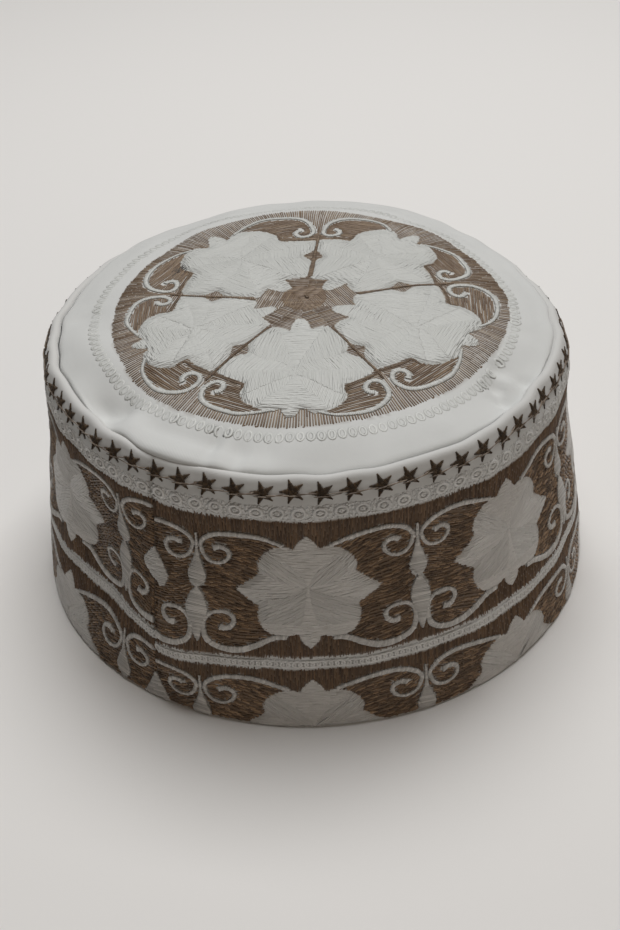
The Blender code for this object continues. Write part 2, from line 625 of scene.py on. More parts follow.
@dataclass(frozen=True)
class ThreadFinish:
    """Embroidery thread with a soft gloss, a little different from stitch to stitch."""

    name: str
    deep: tuple
    light: tuple
    roughness: float = 0.5
    gloss: float = 0.4
    fibre_depth: float = 0.000012

    def material(self) -> bpy.types.Material:
        """The thread's material, from the UV along and round each stitch and from its shade attribute.

        Returns:
            The material.
        """
        shader = Shader(self.name)
        along, around = shader.chart("thread")
        fibres = (along * 4.0 + around * (16 * math.pi)).sine()
        shade = shader.signal("ShaderNodeAttribute", "Fac", {"attribute_name": "shade"})
        # Random tone from stitch to stitch; through the shade attribute it also carries painted petal sheen
        # and painted gloss highlights.
        tone_and_sheen = shade * 0.7 + shader.noise(160, 3) * 0.3
        colour = shader.mixed(tone_and_sheen, self.deep, self.light)
        bump = shader.bump(0.4, self.fibre_depth, fibres)
        shader.surface.inputs["Sheen Weight"].default_value = 0.1
        roughness = self.roughness - 0.06 + shader.noise(500) * 0.12
        return shader.finish(
            Base_Color=colour, Roughness=roughness, Normal=bump, Specular_IOR_Level=self.gloss
        )


# Side grounds: the light tan is partly the thread's own paler strands and partly painted gloss highlights on
# the shiny thread.
SIDE_BROWN = ThreadFinish("side_brown_thread", (0.045, 0.024, 0.011, 1), (0.47, 0.315, 0.192, 1), 0.3, 0.6)
UPRIGHT_BROWN = ThreadFinish(
    "upright_brown_thread", (0.061, 0.035, 0.019, 1), (0.24, 0.146, 0.08, 1), 0.45, 0.25
)
CROWN_BROWN = ThreadFinish("crown_brown_thread", (0.145, 0.094, 0.06, 1), (0.31, 0.23, 0.152, 1), 0.5)
EDGE_BROWN = ThreadFinish("edge_brown_thread", (0.105, 0.068, 0.04, 1), (0.19, 0.13, 0.08, 1), 0.5)
STAR_BROWN = ThreadFinish("star_thread", (0.024, 0.014, 0.007, 1), (0.125, 0.08, 0.042, 1), 0.38, 0.3)
JUMP_TAN = ThreadFinish("jump_thread", (0.12, 0.085, 0.06, 1), (0.32, 0.26, 0.20, 1), 0.35)
CREAM = ThreadFinish("cream_thread", (0.39, 0.375, 0.352, 1), (0.70, 0.675, 0.64, 1), 0.38)
WHITE = ThreadFinish("white_thread", (0.51, 0.517, 0.495, 1), (0.62, 0.626, 0.60, 1), 0.45)
BAND_WHITE = ThreadFinish("band_white_thread", (0.56, 0.55, 0.53, 1), (0.70, 0.69, 0.665, 1), 0.42)
STAIN = ThreadFinish("stained_thread", (0.03, 0.028, 0.026, 1), (0.09, 0.08, 0.07, 1), 0.6, 0.2)


# Charts and stitches


@dataclass
class Raster:
    """A chart cut into small square cells that hold numbers."""

    left: float
    top: float
    step: float
    cells: np.ndarray

    @classmethod
    def grid(cls, box: tuple[float, float, float, float], step: float) -> tuple[np.ndarray, np.ndarray]:
        """Coordinates of the cells of a chart from its left, right, top and bottom."""
        return np.meshgrid(np.arange(box[0], box[1], step), np.arange(box[2], box[3], step))

    def index(self, x: np.ndarray, y: np.ndarray) -> tuple[np.ndarray, np.ndarray, np.ndarray]:
        """Row and column of points, and whether they lie on the chart.

        Args:
            x: First coordinates.
            y: Second coordinates.

        Returns:
            Rows, columns and flags.
        """
        column = np.rint((x - self.left) / self.step).astype(int)
        row = np.rint((y - self.top) / self.step).astype(int)
        rows, columns = self.cells.shape
        inside = (column >= 0) & (column < columns) & (row >= 0) & (row < rows)
        return np.clip(row, 0, rows - 1), np.clip(column, 0, columns - 1), inside

    def at(self, x: np.ndarray, y: np.ndarray, outside: float = 0) -> np.ndarray:
        """The number of the cell at each point."""
        row, column, inside = self.index(x, y)
        return np.where(inside, self.cells[row, column], outside)


def outline_distance(x: np.ndarray, y: np.ndarray, outline: np.ndarray) -> np.ndarray:
    """Signed distance from a closed outline, negative inside.

    Args:
        x: First coordinates.
        y: Second coordinates.
        outline: Array of shape (n, 2), the outline's corners.

    Returns:
        Distances, of the same shape as x.
    """
    nearest = np.full(x.shape, 1e9)
    inside = np.zeros(x.shape, bool)
    for (ax, ay), (bx, by) in zip(outline, np.roll(outline, -1, axis=0)):
        dx, dy = bx - ax, by - ay
        share = np.clip(((x - ax) * dx + (y - ay) * dy) / max(dx * dx + dy * dy, 1e-9), 0, 1)
        nearest = np.minimum(nearest, (x - ax - share * dx) ** 2 + (y - ay - share * dy) ** 2)
        crosses = (ay > y) != (by > y)
        if dy:
            inside ^= crosses & (x < ax + (y - ay) * dx / dy)
    return np.where(inside, -1, 1) * np.sqrt(nearest)


def stroke_distance(x: np.ndarray, y: np.ndarray, path: np.ndarray) -> np.ndarray:
    """Signed distance from a stroke whose path has x, y and half-width columns, negative inside.

    Args:
        x: First coordinates.
        y: Second coordinates.
        path: Array of shape (n, 3), the stroke.

    Returns:
        Distances, of the same shape as x.
    """
    nearest = np.full(x.shape, 1e9)
    for px, py, half in path[::2]:
        nearest = np.minimum(nearest, np.hypot(x - px, y - py) - half)
    return nearest


def petal_split(x: np.ndarray, y: np.ndarray, edges: tuple) -> np.ndarray:
    """Petals of a flower, alike on its left and right, parted by curved lines.

    Args:
        x: Coordinates to the right of the flower's hub.
        y: Coordinates from the hub towards its first petal.
        edges: Angle of each line between petals at the hub and at the petals' tips, from the first petal on.

    Returns:
        The number of the petal at each point.
    """
    turn = np.degrees(np.arctan2(x, y))
    share = np.clip(np.hypot(x, y) / PETAL_LENGTH, 0, 1)
    half = np.zeros(x.shape, int)
    for inner, outer in edges:
        half += np.abs(turn) > inner + (outer - inner) * share
    return np.where(turn < 0, (2 * len(edges) - half) % (2 * len(edges)), half)


class Stitches(NamedTuple):
    """Straight stitches on a chart, as arrays of their start and end points."""

    start: np.ndarray
    end: np.ndarray

    @staticmethod
    def joined(groups: list["Stitches"]) -> "Stitches":
        """All stitches of several groups."""
        return Stitches(np.vstack([g.start for g in groups]), np.vstack([g.end for g in groups]))

    def kept(self, keep: np.ndarray) -> "Stitches":
        """The stitches whose flag is set."""
        return Stitches(self.start[keep], self.end[keep])

    def moved(self, change: Callable[[np.ndarray], np.ndarray]) -> "Stitches":
        """The stitches with both ends changed by a function of chart points."""
        return Stitches(change(self.start), change(self.end))


@dataclass(frozen=True)
class Hatch:
    """Rows of stitches across part of a chart."""

    angle: float
    pitch: float
    longest: float = 6.0
    shortest: float = 0.7
    overrun: float = 0.15
    ragged: float = 0.25
    wave: float = 0.0
    wavelength: float = 11.0
    lap: float = 0.0

    def turned(self, angle: float) -> "Hatch":
        """The same rows at another angle."""
        return replace(self, angle=angle)

    def fill(self, chart: Raster, code: int, rng: np.random.Generator) -> Stitches:
        """Fills the cells that hold a number.

        Args:
            chart: The chart.
            code: The number to fill.
            rng: Seeded random numbers.

        Returns:
            The stitches.
        """
        rows, columns = np.nonzero(chart.cells == code)
        if len(rows) < 4:
            return Stitches(np.zeros((0, 2)), np.zeros((0, 2)))
        xs, ys = chart.left + columns * chart.step, chart.top + rows * chart.step
        turn = math.radians(self.angle)
        ahead, aside = np.array([math.cos(turn), math.sin(turn)]), np.array([-math.sin(turn), math.cos(turn)])
        run, side = xs * ahead[0] + ys * ahead[1], xs * aside[0] + ys * aside[1]
        marks = np.arange(run.min() - 1, run.max() + 1, 0.2)
        ends = math.floor(side.min() / self.pitch), math.ceil(side.max() / self.pitch) + 1
        lines = np.arange(*ends) * self.pitch
        lines = lines + rng.normal(0, 0.06 * self.pitch, len(lines))
        phase = rng.normal(0, 0.35, len(lines))

        def spot(line: np.ndarray, mark: np.ndarray) -> np.ndarray:
            """Chart point at a distance along a line of the hatch."""
            bend = self.wave * np.sin(2 * math.pi * mark / self.wavelength + phase[line] + 0.12 * lines[line])
            return mark[..., None] * ahead + (lines[line] + bend)[..., None] * aside

        row, place = np.meshgrid(np.arange(len(lines)), marks, indexing="ij")
        grid = spot(row, place)
        held = chart.at(grid[..., 0], grid[..., 1]) == code
        change = np.diff(np.pad(held, ((0, 0), (1, 1))).astype(int), axis=1)
        first, last = np.argwhere(change == 1), np.argwhere(change == -1)
        pieces = []
        for (line, a), (_, b) in zip(first, last):
            low, high = marks[a] - self.overrun, marks[b - 1] + self.overrun
            if high - low < self.shortest:
                continue
            cuts = [low - rng.random() * self.ragged]
            lag = (line * 0.39 % 1) * self.longest
            mark = (math.floor((low - lag) / self.longest) + 1) * self.longest + lag
            while mark < high - 0.2 * self.longest:
                if mark > low + 0.2 * self.longest:
                    cuts.append(mark + rng.normal(0, 0.3))
                mark += self.longest
            cuts.append(high + rng.random() * self.ragged)
            ends = [cuts[0] + self.lap] + cuts[1:-1] + [cuts[-1] - self.lap]
            pieces.extend((line, p - self.lap, q + self.lap) for p, q in zip(ends, ends[1:]))
        if not pieces:
            return Stitches(np.zeros((0, 2)), np.zeros((0, 2)))
        table = np.array(pieces)
        line = table[:, 0].astype(int)
        return Stitches(spot(line, table[:, 1]), spot(line, table[:, 2]))


SATIN_OVERRUN = 0.12
OVAL_POINTS = 12


def satin(path: np.ndarray, pitch: float, slant: float, rng: np.random.Generator) -> Stitches:
    """Short stitches across a stroke.

    Args:
        path: Array with x, y and half-width columns, evenly spaced.
        pitch: Distance from stitch to stitch.
        slant: Degrees by which the stitches lean.
        rng: Seeded random numbers.

    Returns:
        The stitches.
    """
    along = np.concatenate([[0], np.cumsum(np.hypot(*np.diff(path[:, :2], axis=0).T))])
    marks = np.arange(pitch / 2, along[-1], pitch)
    x, y, half = (np.interp(marks, along, column) for column in path.T)
    heading = np.gradient(path[:, :2], axis=0)
    hx, hy = (np.interp(marks, along, column) for column in heading.T)
    turn = np.arctan2(hy, hx) + math.pi / 2 + math.radians(slant) + rng.normal(0, 0.04, len(marks))
    half = half + SATIN_OVERRUN + rng.random(len(marks)) * SATIN_OVERRUN
    reach = half[:, None] * np.stack([np.cos(turn), np.sin(turn)], axis=1)
    middle = np.stack([x, y], axis=1)
    return Stitches(middle - reach, middle + reach)


def widened(points: np.ndarray | tuple, widths: tuple, stretch: float = 1.0) -> np.ndarray:
    """A smooth stroke through points, whose half-widths change evenly from one listed value to the next.

    Args:
        points: The points.
        widths: The half-widths.
        stretch: Factor of the first coordinate.

    Returns:
        Array with x, y and half-width columns.
    """
    path = smooth_path(np.array(points, float) * (stretch, 1), 0.3)
    share = np.linspace(0, len(widths) - 1, len(path))
    return np.column_stack([path, np.interp(share, np.arange(len(widths)), widths)])


class MeshParts:
    """Points, triangles, UV and a shade for many small shapes that become one mesh."""

    def __init__(self) -> None:
        """Starts with no shape."""
        self.points: list[np.ndarray] = []
        self.triangles: list[np.ndarray] = []
        self.thread: list[np.ndarray] = []
        self.shades: list[np.ndarray] = []
        self.count = 0

    def add(self, points: np.ndarray, triangles: np.ndarray, thread: np.ndarray, shade: np.ndarray) -> None:
        """Adds copies of one shape.

        Args:
            points: Array of shape (copies, points of the shape, 3).
            triangles: Array of shape (triangles of the shape, 3).
            thread: Array of shape (copies, triangles of the shape, 3, 2), the UV of each corner.
            shade: One value a copy.
        """
        copies, size = points.shape[:2]
        start = self.count + np.arange(copies)[:, None, None] * size
        self.points.append(points.reshape(-1, 3))
        self.triangles.append((triangles[None] + start).reshape(-1, 3))
        self.thread.append(thread.reshape(-1, 2))
        self.shades.append(np.repeat(shade, size))
        self.count += copies * size

    def piece(self, name: str, material: bpy.types.Material, smooth: bool) -> bpy.types.Object:
        """The object that holds all shapes, shaded smooth or flat.

        Args:
            name: The object's name.
            material: Its material.
            smooth: Whether it is shaded smooth.

        Returns:
            The object.
        """
        points, triangles = np.vstack(self.points) * MM, np.vstack(self.triangles)
        mesh = bpy.data.meshes.new(name)
        mesh.vertices.add(len(points))
        mesh.vertices.foreach_set("co", points.ravel())
        mesh.loops.add(triangles.size)
        mesh.loops.foreach_set("vertex_index", triangles.ravel())
        mesh.polygons.add(len(triangles))
        mesh.polygons.foreach_set("loop_start", np.arange(0, triangles.size, 3))
        mesh.update(calc_edges=True)
        mesh.uv_layers.new(name="thread").data.foreach_set("uv", np.vstack(self.thread).ravel())
        mesh.attributes.new("shade", "FLOAT", "POINT").data.foreach_set("value", np.concatenate(self.shades))
        if smooth:
            mesh.shade_smooth()
        mesh.materials.append(material)
        return linked(name, mesh)


class Gauge(NamedTuple):
    """How stitches are sewn: their size, the rings along each, their padding and their shades."""

    width: float
    height: float
    rings: int = 3
    lift: float = 0.0
    sunk: float = 0.12
    low: float = 0.0
    high: float = 1.0


@dataclass
class Needlework:
    """Sews stitches and cords onto a face of the cap, as slim closed shapes in one mesh."""

    TAPER_LENGTH = 0.45
    TAPER_LIMITS = (0.05, 0.3)
    UNEVEN_HEIGHT = 0.1
    UNEVEN_WIDTH = 0.08
    STITCH_ROOT = 0.25
    CORD_ROOT = 0.3
    SHADE_POWER = 1.7

    cloth: Cloth
    name: str
    finish: ThreadFinish
    slot: Slot
    seed: int
    smooth: bool = True
    parts: MeshParts = field(default_factory=MeshParts)

    def __post_init__(self) -> None:
        """Starts the piece's own random numbers."""
        self.rng = np.random.default_rng(self.seed)

    @staticmethod
    def tube(rings: int, closed: bool) -> tuple[np.ndarray, np.ndarray]:
        """Triangles of a four-sided tube, and their corners' places along and round it.

        Args:
            rings: Number of rings.
            closed: Whether the last ring meets the first. If not, two points after the rings close the ends.

        Returns:
            The triangles, and for each corner its ring number and its quarter turns.
        """
        triangles, corners = [], []
        for ring in range(rings if closed else rings - 1):
            after = (ring + 1) % rings
            for side in range(4):
                a, b = ring * 4 + side, ring * 4 + (side + 1) % 4
                c, d = after * 4 + (side + 1) % 4, after * 4 + side
                triangles += [(a, b, c), (a, c, d)]
                low, high = (ring, side), (ring, side + 1)
                far_high, far_low = (ring + 1, side + 1), (ring + 1, side)
                corners += [(low, high, far_high), (low, far_high, far_low)]
        if not closed:
            tail, head, last = rings * 4, rings * 4 + 1, (rings - 1) * 4
            for side in range(4):
                after = (side + 1) % 4
                triangles += [(tail, after, side), (head, last + side, last + after)]
                corners.append(((-1, side), (0, side + 1), (0, side)))
                corners.append(((rings, side), (rings - 1, side), (rings - 1, side + 1)))
        return np.array(triangles), np.array(corners, float)

    def sew(
        self, stitches: Stitches, gauge: Gauge, padding: Callable[[np.ndarray], np.ndarray] | None = None
    ) -> None:
        """Adds stitches.

        Args:
            stitches: The stitches, on the chart.
            gauge: How they are sewn.
            padding: Height of the padding under chart points, in place of the gauge's own.
        """
        count, rings = len(stitches.start), gauge.rings
        if not count:
            return
        length = np.maximum(np.linalg.norm(stitches.end - stitches.start, axis=1), 0.1)
        taper = np.clip(self.TAPER_LENGTH / length, *self.TAPER_LIMITS)
        inner = np.linspace(taper, 1 - taper, rings, axis=1) if rings > 1 else np.full((count, 1), 0.5)
        shares = np.concatenate([np.zeros((count, 1)), inner, np.ones((count, 1))], axis=1)
        share = shares[..., None]
        chart = stitches.start[:, None] * (1 - share) + stitches.end[:, None] * share
        points, out = self.cloth.lay(chart)
        ends = np.array([-gauge.sunk] + [0.0] * rings + [-gauge.sunk])
        stand = ends[None] + self.rng.normal(0, self.UNEVEN_HEIGHT * gauge.height, (count, 1))
        stand = stand + (padding(chart) if padding else gauge.lift)
        points = points + out * stand[..., None]
        heading = points[:, -1] - points[:, 0]
        length = np.linalg.norm(heading, axis=1)
        heading /= np.maximum(length, 1e-6)[:, None]
        out = out[:, 1:-1]
        side = np.cross(out, heading[:, None])
        side /= np.linalg.norm(side, axis=-1, keepdims=True)
        wide = (gauge.width * (1 + self.rng.normal(0, self.UNEVEN_WIDTH, count)) / 2)[:, None, None]
        ring = self.ring(points[:, 1:-1], side * wide, out * gauge.height, out * self.STITCH_ROOT)
        body = np.concatenate([ring, points[:, :1], points[:, -1:]], axis=1)
        triangles, corners = self.tube(rings, closed=False)
        along = shares[:, (corners[..., 0] + 1).astype(int)] * length[:, None, None]
        shade = gauge.low + (gauge.high - gauge.low) * self.rng.random(count) ** self.SHADE_POWER
        self.parts.add(body, triangles, self.thread_uv(along, corners), shade)

    @staticmethod
    def ring(middle: np.ndarray, side: np.ndarray, up: np.ndarray, down: np.ndarray) -> np.ndarray:
        """The four points of each ring round its middle, one ring after the other."""
        points = np.stack([middle + side, middle + up, middle - side, middle - down], axis=2)
        return points.reshape(len(middle), -1, 3)

    @staticmethod
    def thread_uv(along: np.ndarray, corners: np.ndarray) -> np.ndarray:
        """UV of each triangle's corners: the distance along the thread, and the share of the way round it."""
        return np.stack([along, np.broadcast_to(corners[..., 1] / 4, along.shape)], -1)

    def cord(self, loops: np.ndarray, width: float, height: float, lift: float = 0.1) -> None:
        """Adds closed cords.

        Args:
            loops: Array of shape (cords, points, 2), on the chart.
            width: Width of a cord.
            height: How far it stands up from the cloth.
            lift: Height of its middle over the cloth.
        """
        size = loops.shape[1]
        points, out = self.cloth.lay(loops)
        heading = np.roll(points, -1, axis=1) - np.roll(points, 1, axis=1)
        step = np.linalg.norm(heading, axis=-1, keepdims=True)
        side = np.cross(out, heading / step)
        side /= np.linalg.norm(side, axis=-1, keepdims=True)
        ring = self.ring(points + out * lift, side * width / 2, out * height, out * self.CORD_ROOT)
        triangles, corners = self.tube(size, closed=True)
        pace = step.mean(axis=(1, 2)) / 2
        along = corners[None, ..., 0] * pace[:, None, None]
        self.parts.add(ring, triangles, self.thread_uv(along, corners), self.rng.random(len(loops)))

    def done(self) -> bpy.types.Object:
        """The finished piece, riding on the cap.

        Returns:
            The object.
        """
        piece = self.parts.piece(self.name, self.finish.material(), self.smooth)
        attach(piece, BODY)
        LOG.info("%s: %d triangles", self.name, len(piece.data.polygons))
        return piece


UPRIGHT_ROWS = Hatch(90, 0.44, longest=5.5, shortest=0.4, overrun=0.0, ragged=1.1)
FIELD_ROWS = Hatch(0, 0.62, longest=2.6, overrun=0.2, ragged=0.2, wave=0.8, wavelength=24)
PETAL_ROWS = Hatch(0, 0.5, longest=6, overrun=0.5, ragged=0.2, wave=0.15, lap=0.4)
SHORT_PETAL_ROWS = replace(PETAL_ROWS, longest=2.4)
TIP_ROWS = Hatch(-12, 0.56, longest=6, lap=0.45)
BUMP_ROWS = Hatch(0, 1.3, longest=1.7, shortest=0.5, overrun=-0.1, lap=0.15)
RADIAL_ROWS = Hatch(90, 0.74, longest=9, shortest=0.6, overrun=0.1, ragged=0.5, lap=0.25)
ARM_ROWS = Hatch(0, 0.68, longest=12, overrun=0.3, lap=0.3)
SCROLL_ROWS = Hatch(0, 0.62, longest=7, overrun=0.2, wave=0.12, lap=0.4)
CROWN_PETAL_ROWS = Hatch(0, 0.46, longest=6, overrun=0.5, ragged=0.15, wave=0.12, lap=0.4)
UPRIGHT_GAUGE = Gauge(0.38, 0.24, rings=2)
# Shades up to 1.2 carry some field stitches past the light tan, as painted gloss highlights.
FIELD_GAUGE = Gauge(0.58, 0.4, rings=2, high=1.2)
PETAL_GAUGE = Gauge(0.9, 0.05, sunk=0)
SHORT_PETAL_GAUGE = Gauge(0.9, 0.14, rings=2, sunk=0)
TIP_GAUGE = Gauge(0.9, 0.1, lift=0.4, sunk=0.25)
SCROLL_GAUGE = Gauge(0.85, 0.16, rings=2, lift=0.42, sunk=0.4)
POST_GAUGE = Gauge(0.85, 0.16, rings=2, lift=0.5, sunk=0.45)
BUMP_GAUGE = Gauge(0.95, 0.16, rings=1, lift=0.05)
STAR_GAUGE = Gauge(0.5, 0.26, rings=2, lift=0.1)
JUMP_GAUGE = Gauge(0.32, 0.16, lift=0.5)
RADIAL_GAUGE = Gauge(0.5, 0.24)
ARM_GAUGE = Gauge(0.52, 0.24)
CROWN_FIELD_GAUGE = Gauge(0.62, 0.24, high=0.8)
RAY_GAUGE = Gauge(0.52, 0.2, rings=2, lift=0.26)
HUB_GAUGE = Gauge(0.6, 0.2)
EDGE_GAUGE = Gauge(0.6, 0.2, rings=2, lift=0.12)
KNOT_GAUGE = Gauge(0.5, 0.22, lift=0.4, high=0.3)
CROWN_PETAL_GAUGE = Gauge(0.9, 0.03, sunk=0)
CROWN_SCROLL_GAUGE = Gauge(0.85, 0.14, rings=2, lift=0.24, sunk=0.24)
STAIN_GAUGE = Gauge(0.5, 0.2, lift=0.12)


# The side band


@dataclass
class SidePattern:
    """The chart of the band: a repeat of one flower with its scrolls, in two rows, cut at the seam."""

    degree: float = 1.51
    period: float = 42.7
    flower_bearing: float = -1.85
    flower_drop: float = 34.5
    row_pitch: float = 49.0
    top_edge: float = 11.3
    bumps_top: float = 5.6
    mid_top: float = 57.0
    mid_bottom: float = 61.6
    hem: float = 82.3
    step: float = 0.25
    fine_step: float = 0.2
    hub_rise: float = 1.5
    head_petal: float = -12.8
    foot_petal: float = 10.8
    padding_slope: float = 2.2
    line_margin: float = 0.4
    ring_margin: float = 0.5
    seam_clear: float = 4
    seam_groove: float = 0.12
    seam_margin: float = 0.3
    hem_reach: float = 4
    far: float = 9

    FLOWER = (
        (0, -18.6), (1.1, -16.8), (1.9, -15), (2.3, -14.0), (4.0, -14.6), (6.0, -14.0), (7.8, -12.2),
        (8.9, -9.8), (9.2, -7.8), (9.0, -5.9), (10.2, -4.2), (11.8, -2.2), (13.6, 0), (11.9, 2.2),
        (10.3, 4.0), (9.2, 5.3), (9.5, 7.5), (9.3, 10.3), (8.4, 13), (6.8, 14.6), (5.0, 15.0), (3.0, 14.4),
        (2.0, 14.3), (1.5, 16.2), (0.7, 17.8), (0, 18.6),
    )
    UPPER_SCROLL = (
        (4.4, -15), (7, -16.5), (10, -17.8), (12, -18.3), (14, -18.5), (16, -18.3), (17.9, -17.6),
        (19.2, -16.5), (20.2, -15), (20.6, -13.5), (20.4, -12.5), (19.9, -10.5), (18.9, -8.9), (17.4, -8.3),
        (16, -8.8), (15, -10.2), (14.7, -12), (15.3, -13.3), (16.5, -13.9), (17.6, -13.3),
    )
    LOWER_SCROLL = (
        (4.4, 15.5), (6.9, 16), (9.9, 18.3), (12.9, 20), (15.9, 20.2), (18.4, 19), (19.7, 17), (20.2, 13.5),
        (19.9, 10.5), (18.9, 8.5), (17.2, 7.7), (15.4, 8.1), (14.3, 9.7), (14.5, 11.7), (15.6, 13.1),
        (16.8, 12.9),
    )
    POST = (
        (-17.5, 0.2), (-14.5, 0.5), (-12, 0.5), (-9, 1.1), (-6, 2.2), (-3.5, 2.9), (-1.5, 2.1), (-0.2, 0.5),
        (0.6, 0.6), (2.5, 2.1), (6.5, 3.2), (9.5, 2.6), (12.5, 1.6), (15, 1.3), (18, 0.3),
    )
    SEAM_TIPS = (
        ((-32.4, 27.0), (-33.9, 29.5), (-35.5, 33), (-35.1, 35), (-33.2, 37.4), (-32.1, 38), (-31.2, 39.5),
         (-29.9, 38.4), (-29.2, 35), (-30.6, 31.2), (-31.9, 28.4)),
        ((-33, 72), (-29.8, 83), (-36.2, 83)),
    )
    LEAN = ((-32.6, 2.2), (-22, 1.2), (-10, 0), (240, 0), (297, -2), (327.4, -2))
    EDGE_DIP = (
        (-32.6, 0.9), (-20, 0.3), (-8, 0), (25, 0.2), (45, 1.2), (70, 0.6), (100, 0), (290, 0.8),
        (327.4, 0.2),
    )

    def lean(self, bearing: np.ndarray) -> np.ndarray:
        """How far the pattern lies below its even place, which jumps at the seam."""
        return np.interp(bearing, *np.array(self.LEAN).T)

    def brown_top(self, bearing: np.ndarray) -> np.ndarray:
        """Drop at which the brown ground starts."""
        return self.top_edge + np.interp(bearing, *np.array(self.EDGE_DIP).T)

    @cached_property
    def flower(self) -> np.ndarray:
        """Outline of a flower, from its middle, in millimetres."""
        half = smooth_path(np.array(self.FLOWER) * (self.degree, 1), 0.6)
        return np.vstack([half, half[-2:0:-1] * (-1, 1)])

    @cached_property
    def petals(self) -> tuple[Raster, Raster]:
        """One flower: the number of each petal plus one, and the share of the padding under each spot.

        Returns:
            Both charts.
        """
        box = (-23, 23, -20, 20)
        x, y = Raster.grid(box, self.fine_step)
        depth = -outline_distance(x, y, self.flower)
        number = petal_split(x, -(y + self.hub_rise), SIDE_PETAL_EDGES)
        number = np.where(y > self.foot_petal, 4, np.where(y < self.head_petal, 0, number))
        code = np.where(depth > 0, number + 1, 0)
        padding = np.clip(depth / self.padding_slope, 0, 1)
        corner = (box[0], box[2], self.fine_step)
        return Raster(*corner, code), Raster(*corner, padding)

    @cached_property
    def strokes(self) -> list[np.ndarray]:
        """Scrolls right and left of a flower, with half-widths.

        Returns:
            Upper right, upper left, lower right and lower left.
        """
        upper = widened(self.UPPER_SCROLL, (0.65, 0.8, 0.85, 0.8, 0.65, 0.6, 1.0), self.degree)
        lower = widened(self.LOWER_SCROLL, (0.8, 1.05, 1.2, 0.95, 0.7, 0.62, 1.05), self.degree)
        return [stroke * (side, 1, 1) for stroke in (upper, lower) for side in (1, -1)]

    @cached_property
    def post(self) -> np.ndarray:
        """The post between two flowers, as a stroke with half-widths."""
        path = smooth_path(np.array(self.POST), 0.3)
        return np.column_stack([np.zeros(len(path)), path[:, 0], np.maximum(path[:, 1], 0.15)])

    def across(self, x: np.ndarray) -> np.ndarray:
        """Distance of a chart's x from the middle of the nearest flower."""
        half = self.period / 2
        return ((x / self.degree - self.flower_bearing + half) % self.period - half) * self.degree

    def bearing(self, x: np.ndarray) -> np.ndarray:
        """Bearing of a chart coordinate."""
        return x / self.degree

    @cached_property
    def cell(self) -> tuple[Raster, Raster]:
        """One repeat: distance from the flower, and from the scrolls and posts.

        Returns:
            Both charts.
        """
        half = self.period * self.degree / 2
        box = (-half, half + self.step, -23, 23)
        x, y = Raster.grid(box, self.step)
        flower = outline_distance(x, y, self.flower)
        thin = np.minimum.reduce([stroke_distance(x, y, stroke) for stroke in self.strokes])
        for side in (half, -half):
            thin = np.minimum(thin, stroke_distance(x, y, self.post + (side, 0, 0)))
        return Raster(box[0], box[2], self.step, flower), Raster(box[0], box[2], self.step, thin)

    @cached_property
    def chart(self) -> Raster:
        """The whole band's chart, whose cells hold zones.

        Returns:
            The chart.
        """
        left, right = SEAM_BEARING * self.degree, (SEAM_BEARING + 360) * self.degree
        x, y = Raster.grid((left, right, 0, self.hem), self.step)
        bearing = self.bearing(x)
        flower, thin = self.cell
        across = self.across(x)
        petal, cream = np.zeros(x.shape, bool), np.zeros(x.shape, bool)
        for row in (0, 1):
            down = y - self.flower_drop - self.lean(bearing) - row * self.row_pitch
            petal |= flower.at(across, down, self.far) < 0
            cream |= thin.at(across, down, self.far) < 0
        near_seam = past_seam(bearing)
        petal &= near_seam > self.seam_clear
        for tip in self.SEAM_TIPS:
            corners = np.array(tip, float)
            gap = np.where(bearing > 180, bearing - 360, bearing)
            cream |= outline_distance(gap * self.degree, y, corners * (self.degree, 1)) < 0
        lean = self.lean(bearing)
        upper = (y > self.brown_top(bearing)) & (y < self.mid_top + lean)
        lower = y > self.mid_bottom + lean
        shape = petal | cream
        from_top = np.maximum.accumulate(shape & upper, axis=0)
        from_bottom = np.maximum.accumulate((shape & upper)[::-1], axis=0)[::-1]
        from_mid = np.maximum.accumulate(shape & lower, axis=0)
        outer = (upper & (~from_top | ~from_bottom)) | (lower & ~from_mid)
        cells = np.where(outer, Zone.OUTER, np.where(upper | lower, Zone.FIELD, Zone.PLAIN))
        cells = np.where(cream & (upper | lower), Zone.CREAM, cells)
        cells = np.where(petal & (upper | lower), Zone.PETAL, cells)
        top, bottom = self.mid_top + self.line_margin, self.mid_bottom - self.line_margin
        middle = (y > top + lean) & (y < bottom + lean)
        lines = middle | ((y > self.bumps_top) & (y < self.brown_top(bearing) - self.ring_margin))
        cells = np.where(lines & (cells == Zone.PLAIN), Zone.LINE, cells)
        cells[near_seam < self.seam_groove] = Zone.PLAIN
        return Raster(left, 0, self.step, cells)

    def middles(self, spread: range) -> list[tuple[int, float]]:
        """Row number and bearing of each repeat's flower."""
        return [(row, self.flower_bearing + self.period * k) for row in (0, 1) for k in spread]

    def repeated(
        self, local: Stitches, spread: range, rng: np.random.Generator, shift: float = 0.0
    ) -> Stitches:
        """Copies stitches from one repeat to all, trimmed at the seam and at the hem.

        Args:
            local: Stitches round a flower's middle.
            spread: Numbers of the repeats.
            rng: Seeded random numbers.
            shift: Bearing added to each repeat's middle.

        Returns:
            The stitches on the band's chart.
        """
        groups = []
        for row, middle in self.middles(spread):
            def settle(points: np.ndarray, row: int = row, middle: float = middle + shift) -> np.ndarray:
                """A repeat's points on the band's chart.

                Args:
                    points: Points of the repeat.
                    row: Its row.
                    middle: Bearing of its middle.

                Returns:
                    Array of shape (n, 2).
                """
                x = points[:, 0] + middle * self.degree
                drop = points[:, 1] + self.flower_drop + row * self.row_pitch + self.lean(x / self.degree)
                return np.stack([x, drop], axis=1) + rng.normal(0, 0.05, points.shape)

